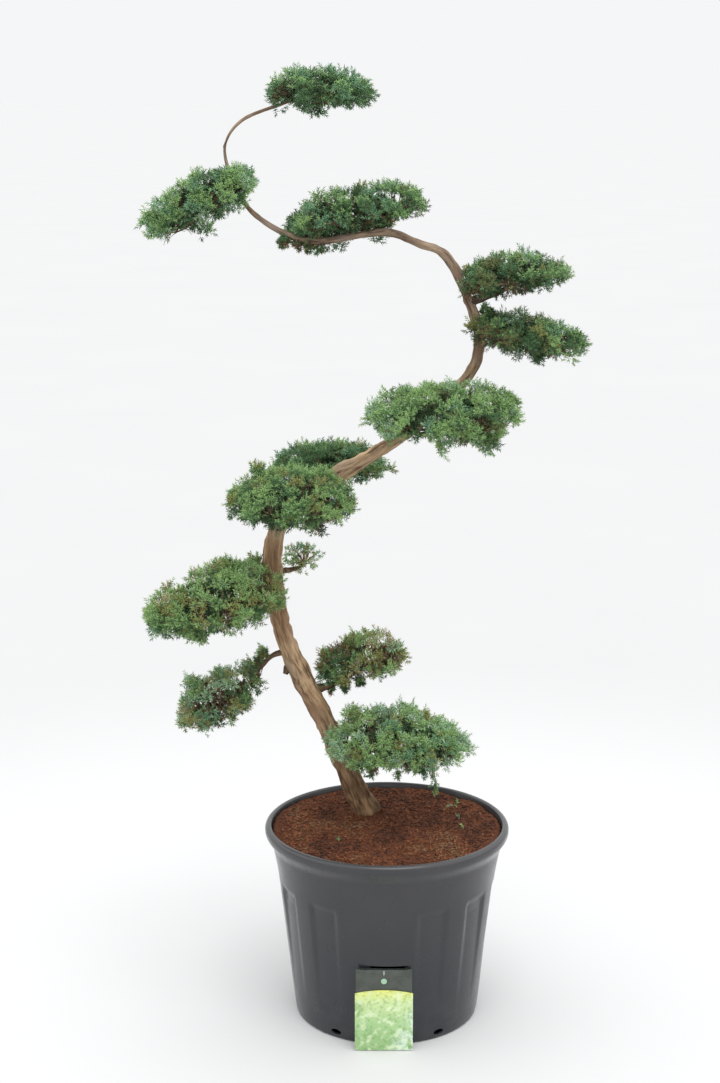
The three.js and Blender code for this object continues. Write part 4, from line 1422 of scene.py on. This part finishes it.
def pot_section():
    """Underside, rounded corner, wall in rows, the rim's skirt and bead, and the inside."""
    shoulder = POT_HEIGHT - RIM_HEIGHT - NECK_DROP
    rows = np.linspace(CORNER_RADIUS, FLARE_FOOT, round(FLARE_FOOT / WALL_ROW))
    flared = np.linspace(FLARE_FOOT, BEAD_TOP, FLARE_ROWS)
    return [
        (0, 0),
        (BASE_RADIUS / 2, 0),
        *arc(BASE_RADIUS - CORNER_RADIUS, CORNER_RADIUS, CORNER_RADIUS, -90, 0, 5),
        *[(wall_radius(z), z) for z in rows[1:]],
        *[(flared_radius(z), z) for z in flared[1:]],
        *arc(RIM_RADIUS - ROLL_RADIUS, POT_HEIGHT - ROLL_RADIUS, ROLL_RADIUS, -15, 90, 8),
        *arc(INNER_RADIUS + LIP_RADIUS, POT_HEIGHT - LIP_RADIUS, LIP_RADIUS, 90, 165, 4),
        (INNER_RADIUS - LIP_TAPER, POT_HEIGHT - LIP_DROP),
        (NECK_RADIUS - POT_WALL, shoulder),
        (BASE_RADIUS - POT_WALL, POT_WALL),
        (0, POT_WALL),
    ]


def press_panels(bm):
    """Presses the shallow panels into the pot's wall: deepest under their top edge, fading to the foot."""
    pitch = 360 / PANEL_COUNT
    half = PANEL_WIDTH_DEG / 2
    for vertex in bm.verts:
        x, y, z = vertex.co / MM
        radius = math.hypot(x, y)
        if abs(radius - wall_radius(z)) > PANEL_NEAR or not PANEL_BOTTOM < z < PANEL_TOP + PANEL_EDGE:
            continue
        around = math.degrees(math.atan2(y, x))
        if abs(around - PANEL_PLAIN_DEG) < PANEL_WIDTH_DEG:
            continue
        turn = around - PANEL_TURN_DEG
        offset = abs(turn - pitch * round(turn / pitch))
        side = 1 - fade(half - PANEL_SIDE_DEG, half + PANEL_SIDE_DEG, offset)
        down = np.clip((z - PANEL_BOTTOM) / (PANEL_TOP - PANEL_BOTTOM), 0, 1)
        top = 1 - fade(PANEL_TOP, PANEL_TOP + PANEL_EDGE, z)
        pressed = radius - PANEL_DEPTH * side * down * top
        vertex.co.x *= pressed / radius
        vertex.co.y *= pressed / radius


def pot_cutters():
    """What is cut out of the pot: the drain holes round its foot and the label's slot."""
    bm = bmesh.new()
    foot = Vector((wall_radius(DRAIN["z"]), 0, DRAIN["z"])) * MM
    oval = Matrix.Diagonal((DRAIN["height"] * MM / 2, DRAIN["width"] * MM / 2, DRAIN["depth"] * MM, 1))
    hole = dict(cap_ends=True, segments=DRAIN_SIDES, radius1=1, radius2=1, depth=1)
    for turn in DRAIN_TURNS_DEG:
        out = Matrix.Rotation(math.radians(turn), 4, "Z") @ Matrix.Translation(foot)
        bmesh.ops.create_cone(bm, **hole, matrix=out @ Matrix.Rotation(math.pi / 2, 4, "Y") @ oval)
    place = (LABEL_X, -wall_radius(SLOT["top"]), (SLOT["top"] + SLOT["foot"]) / 2)
    add_box(bm, place, (SLOT["width"], 2 * SLOT["depth"], SLOT["top"] - SLOT["foot"]))
    return mesh_of(bm, "pot_cutters")


def build_pot():
    bm = spun(pot_section(), POT_STEPS)
    press_panels(bm)
    mesh = cut(mesh_of(bm, "pot"), pot_cutters())
    put("pot_shell", mesh, ["pot"], [pot_finish()], POT_SHARP_DEG)


def soil_height(x, y):
    """The soil's surface, in metres: a low mound round the trunk, with crumbs and hollows."""
    flat = np.stack([x, y, np.zeros_like(x)], axis=-1)
    foot = np.array(TRUNK[0][:2]) * MM
    near = np.exp(-((x - foot[0]) ** 2 + (y - foot[1]) ** 2) / SOIL_MOUND_WIDTH**2)
    rough = 0
    for seed, (height, scale) in enumerate(SOIL_CRUMBS, SOIL_CRUMB_SEED):
        rough = rough + height * soft_noise(flat * scale, seed)
    return GROUND * MM + SOIL_MOUND * MM * near + rough - SOIL_SINK


def build_soil():
    edge = INNER_RADIUS - SOIL_INSET - SOIL_GAP
    section = [(r, GROUND) for r in np.linspace(0, edge, SOIL_RINGS)]
    foot = GROUND - SOIL_DEPTH
    inside = wall_radius(foot) - POT_WALL - SOIL_GAP
    bm = spun([*section, (inside, foot + SOIL_DEPTH / 4), (inside, foot), (0, foot)], SOIL_STEPS)
    for vertex in bm.verts:
        if vertex.co.z > (GROUND - 1) * MM:
            vertex.co.z = float(soil_height(np.array(vertex.co.x), np.array(vertex.co.y)))
    put("soil_bed", mesh_of(bm, "soil_bed"), ["soil"], [soil_finish()])
    build_chips(edge * MM)


def turned(points, angles, first, second):
    """Each thing's points turned by its angle, from its first axis towards its second."""
    run, rise = np.cos(angles)[:, None], np.sin(angles)[:, None]
    made = points.copy()
    made[..., first] = points[..., first] * run - points[..., second] * rise
    made[..., second] = points[..., first] * rise + points[..., second] * run
    return made


def build_chips(edge):
    """Loose chips of bark that lie on the soil, in a few tints."""
    draw = np.random.default_rng(CHIP_SEED)
    away = (edge - CHIP_EDGE) * np.sqrt(draw.uniform(0, 1, CHIP_COUNT))
    around = draw.uniform(0, 2 * math.pi, CHIP_COUNT)
    x, y = away * np.cos(around), away * np.sin(around)
    size = draw.uniform(CHIP_LEAST, CHIP_MOST, (CHIP_COUNT, 3))
    corner = np.array(list(itertools.product((-0.5, 0.5), repeat=3)))
    local = corner[None] * size[:, None] * draw.uniform(*CHIP_RAGGED, (CHIP_COUNT, 8, 3))
    spin, tip = draw.uniform(0, 2 * math.pi, CHIP_COUNT), draw.normal(0, CHIP_TIP, CHIP_COUNT)
    lying = turned(turned(local, tip, 0, 2), spin, 0, 1)
    place = np.stack([x, y, soil_height(x, y) + CHIP_LIFT], axis=-1)
    vertices = (place[:, None] + lying).reshape(-1, 3)
    box = [(0, 1, 3, 2), (4, 6, 7, 5), (0, 4, 5, 1), (2, 3, 7, 6), (0, 2, 6, 4), (1, 5, 7, 3)]
    one = np.array([t for a, b, c, d in box for t in ((a, b, c), (a, c, d))])
    triangles = (one + 8 * np.arange(CHIP_COUNT)[:, None, None]).reshape(-1, 3)
    drift = sum(share * soft_noise(place * scale, seed) for share, scale, seed in CHIP_DRIFTS)
    dealt = np.digitize(drift + draw.normal(0, CHIP_STRAY, CHIP_COUNT), CHIP_STEPS)
    mesh = mesh_from_arrays("soil_chips", vertices, triangles, np.repeat(dealt, len(one)))
    finishes = [chip_finish(name, colour) for name, colour in CHIP_TINTS.items()]
    put("soil_chips", mesh, ["soil"], finishes, CHIP_SHARP_DEG)


def build_strip(front):
    """The film strip that hangs from the pot's slot by its tongue, with its stud and dot."""
    thick = STRIP["thick"]
    bm = bmesh.new()
    place = (LABEL_X, front - thick / 2, (STRIP["top"] + STRIP["foot"]) / 2)
    add_box(bm, place, (STRIP["width"], thick, STRIP["top"] - STRIP["foot"]))
    inside = (LABEL_X, front + STRIP_TONGUE / 2 - thick / 2, STRIP["top"] - thick / 2)
    add_box(bm, inside, (SLOT["width"] - 2 * thick, STRIP_TONGUE + thick, thick))
    mesh = mesh_of(bm, "label_strip_film")
    put("label_strip_film", mesh, ["label_strip"], [strip_finish()], LABEL_SHARP_DEG)

    disc = dict(cap_ends=True, segments=MARK_SIDES, radius1=1, radius2=MARK_TAPER, depth=MARK_DEPTH)
    for name, mark in STRIP_MARKS.items():
        bm = bmesh.new()
        place = Matrix.Translation(Vector((LABEL_X, front - thick - MARK_GAP, mark["z"])) * MM)
        oval = Matrix.Diagonal((mark["width"] * MM / 2, MM, mark["height"] * MM / 2, 1))
        bmesh.ops.create_cone(bm, **disc, matrix=place @ oval @ Matrix.Rotation(math.pi / 2, 4, "X"))
        paint = start_finish(name, Base_Color=mark["colour"], Roughness=0.4)[0]
        put(name, mesh_of(bm, name), ["label_strip"], [paint], LABEL_SHARP_DEG)


def build_card(back):
    """The bowed card with its crowned head."""
    bm = bmesh.new()
    bmesh.ops.create_grid(bm, x_segments=CARD_STEPS, y_segments=CARD_STEPS, size=0.5)
    for vertex in bm.verts:
        across = vertex.co.x
        top = CARD["top"] - 4 * CARD["crown"] * across**2
        z = CARD["foot"] + (top - CARD["foot"]) * (vertex.co.y + 0.5)
        y = back - CARD_GAP - CARD["thick"] - CARD["bow"] * (0.25 - across**2)
        vertex.co = Vector((LABEL_X + CARD["width"] * across, y, z)) * MM
    bmesh.ops.recalc_face_normals(bm, faces=bm.faces)
    bmesh.ops.solidify(bm, geom=bm.faces[:], thickness=-CARD["thick"] * MM)
    bmesh.ops.recalc_face_normals(bm, faces=bm.faces)
    mesh = mesh_of(bm, "label_card_print")
    put("label_card_print", mesh, ["label_card"], [card_finish()], LABEL_SHARP_DEG)


def build_label():
    """The strip on the pot's wall and the card in front of it."""
    front = -wall_radius(SLOT["top"]) - STRIP_GAP
    build_strip(front)
    build_card(front - STRIP["thick"])


# Stage


def build_floor():
    """A pale floor that darkens a little further out: paler near the pot as painted light against the shade
    that the plant and pot cast there.
    """
    bm = bmesh.new()
    bmesh.ops.create_grid(bm, x_segments=1, y_segments=1, size=FLOOR_SIZE)
    floor = link("floor", mesh_of(bm, "floor"))
    material, tree, shader = start_finish("pale_floor", Specular_IOR_Level=0.0, Roughness=0.7)
    away = add(tree, "VectorMath", dict(operation="LENGTH"))
    feed(tree, away.inputs[0], add(tree, "TexCoord").outputs["Object"])
    far = ranged(tree, away.outputs["Value"], *FLOOR_FADE, way="SMOOTHSTEP")
    # Painted light: the floor is paler near the pot, to lift the shade that falls round it
    paper = blend(tree, far, (FLOOR_NEAR,) * 3, (FLOOR_FAR,) * 3)
    tone = patches(tree, 0.15, Scale=0.8, Detail=2.0, Low=0.3, High=0.7)
    feed(tree, shader.inputs["Base Color"], blend(tree, tone, paper, FLOOR_PATCHES))
    floor.data.materials.append(material)


def build_light():
    """The studio's pale surround and its broad light."""
    world = bpy.data.worlds.new("studio")
    world.use_nodes = True
    tree = world.node_tree
    sky = tree.nodes["Background"]
    sky.inputs["Color"].default_value = SURROUND_COLOUR
    way = place_parts(tree, "Generated")
    over = ranged(tree, way["Z"], *TOP_BETWEEN, 0.0, SURROUND_TOP)
    aside = maths(tree, "MULTIPLY", way["X"], way["X"])
    flank = ranged(tree, aside, *SIDES_BETWEEN, 0.0, SURROUND_SIDES)
    wings = maths(tree, "MULTIPLY", flank, ranged(tree, way["Z"], *SIDES_ABOVE))
    extra = maths(tree, "ADD", wings, over)
    feed(tree, sky.inputs["Strength"], maths(tree, "ADD", extra, SURROUND))
    bpy.context.scene.world = world

    sun = bpy.data.lights.new("key_light", "SUN")
    sun.energy = KEY_LIGHT["strength"]
    sun.angle = math.radians(KEY_LIGHT["softness_deg"])
    lamp = link("key_light", sun)
    lamp.rotation_euler = Vector(KEY_LIGHT["way"]).to_track_quat("-Z", "Y").to_euler()


def place_camera():
    lens = bpy.data.cameras.new("photo_camera")
    lens.lens = CAMERA_LENS_MM
    lens.sensor_width = CAMERA_SENSOR_MM
    camera = link("photo_camera", lens)
    camera.location = CAMERA_PLACE
    camera.rotation_euler = (math.radians(90 - CAMERA_PITCH_DEG), 0, 0)
    bpy.context.scene.camera = camera
    bpy.context.scene.view_settings.view_transform = "Standard"


build_floor()
build_light()
place_camera()
bark = bark_finish("trunk_bark", *TRUNK_COLOURS)
# The boughs and the pruned stub take the darker bark, painted shade under the pads
shaded_bough_bark = bark_finish("bough_bark_painted_shade", *BOUGH_SHADED_COLOURS)
trunk_axis = build_trunk(bark, shaded_bough_bark)
bough_axes = build_boughs(shaded_bough_bark)
needles = needle_finishes()
build_foliage(trunk_axis, bough_axes, needles, twig_finish())
lay_fallen_sprays(needles)
build_pot()
build_soil()
build_label()
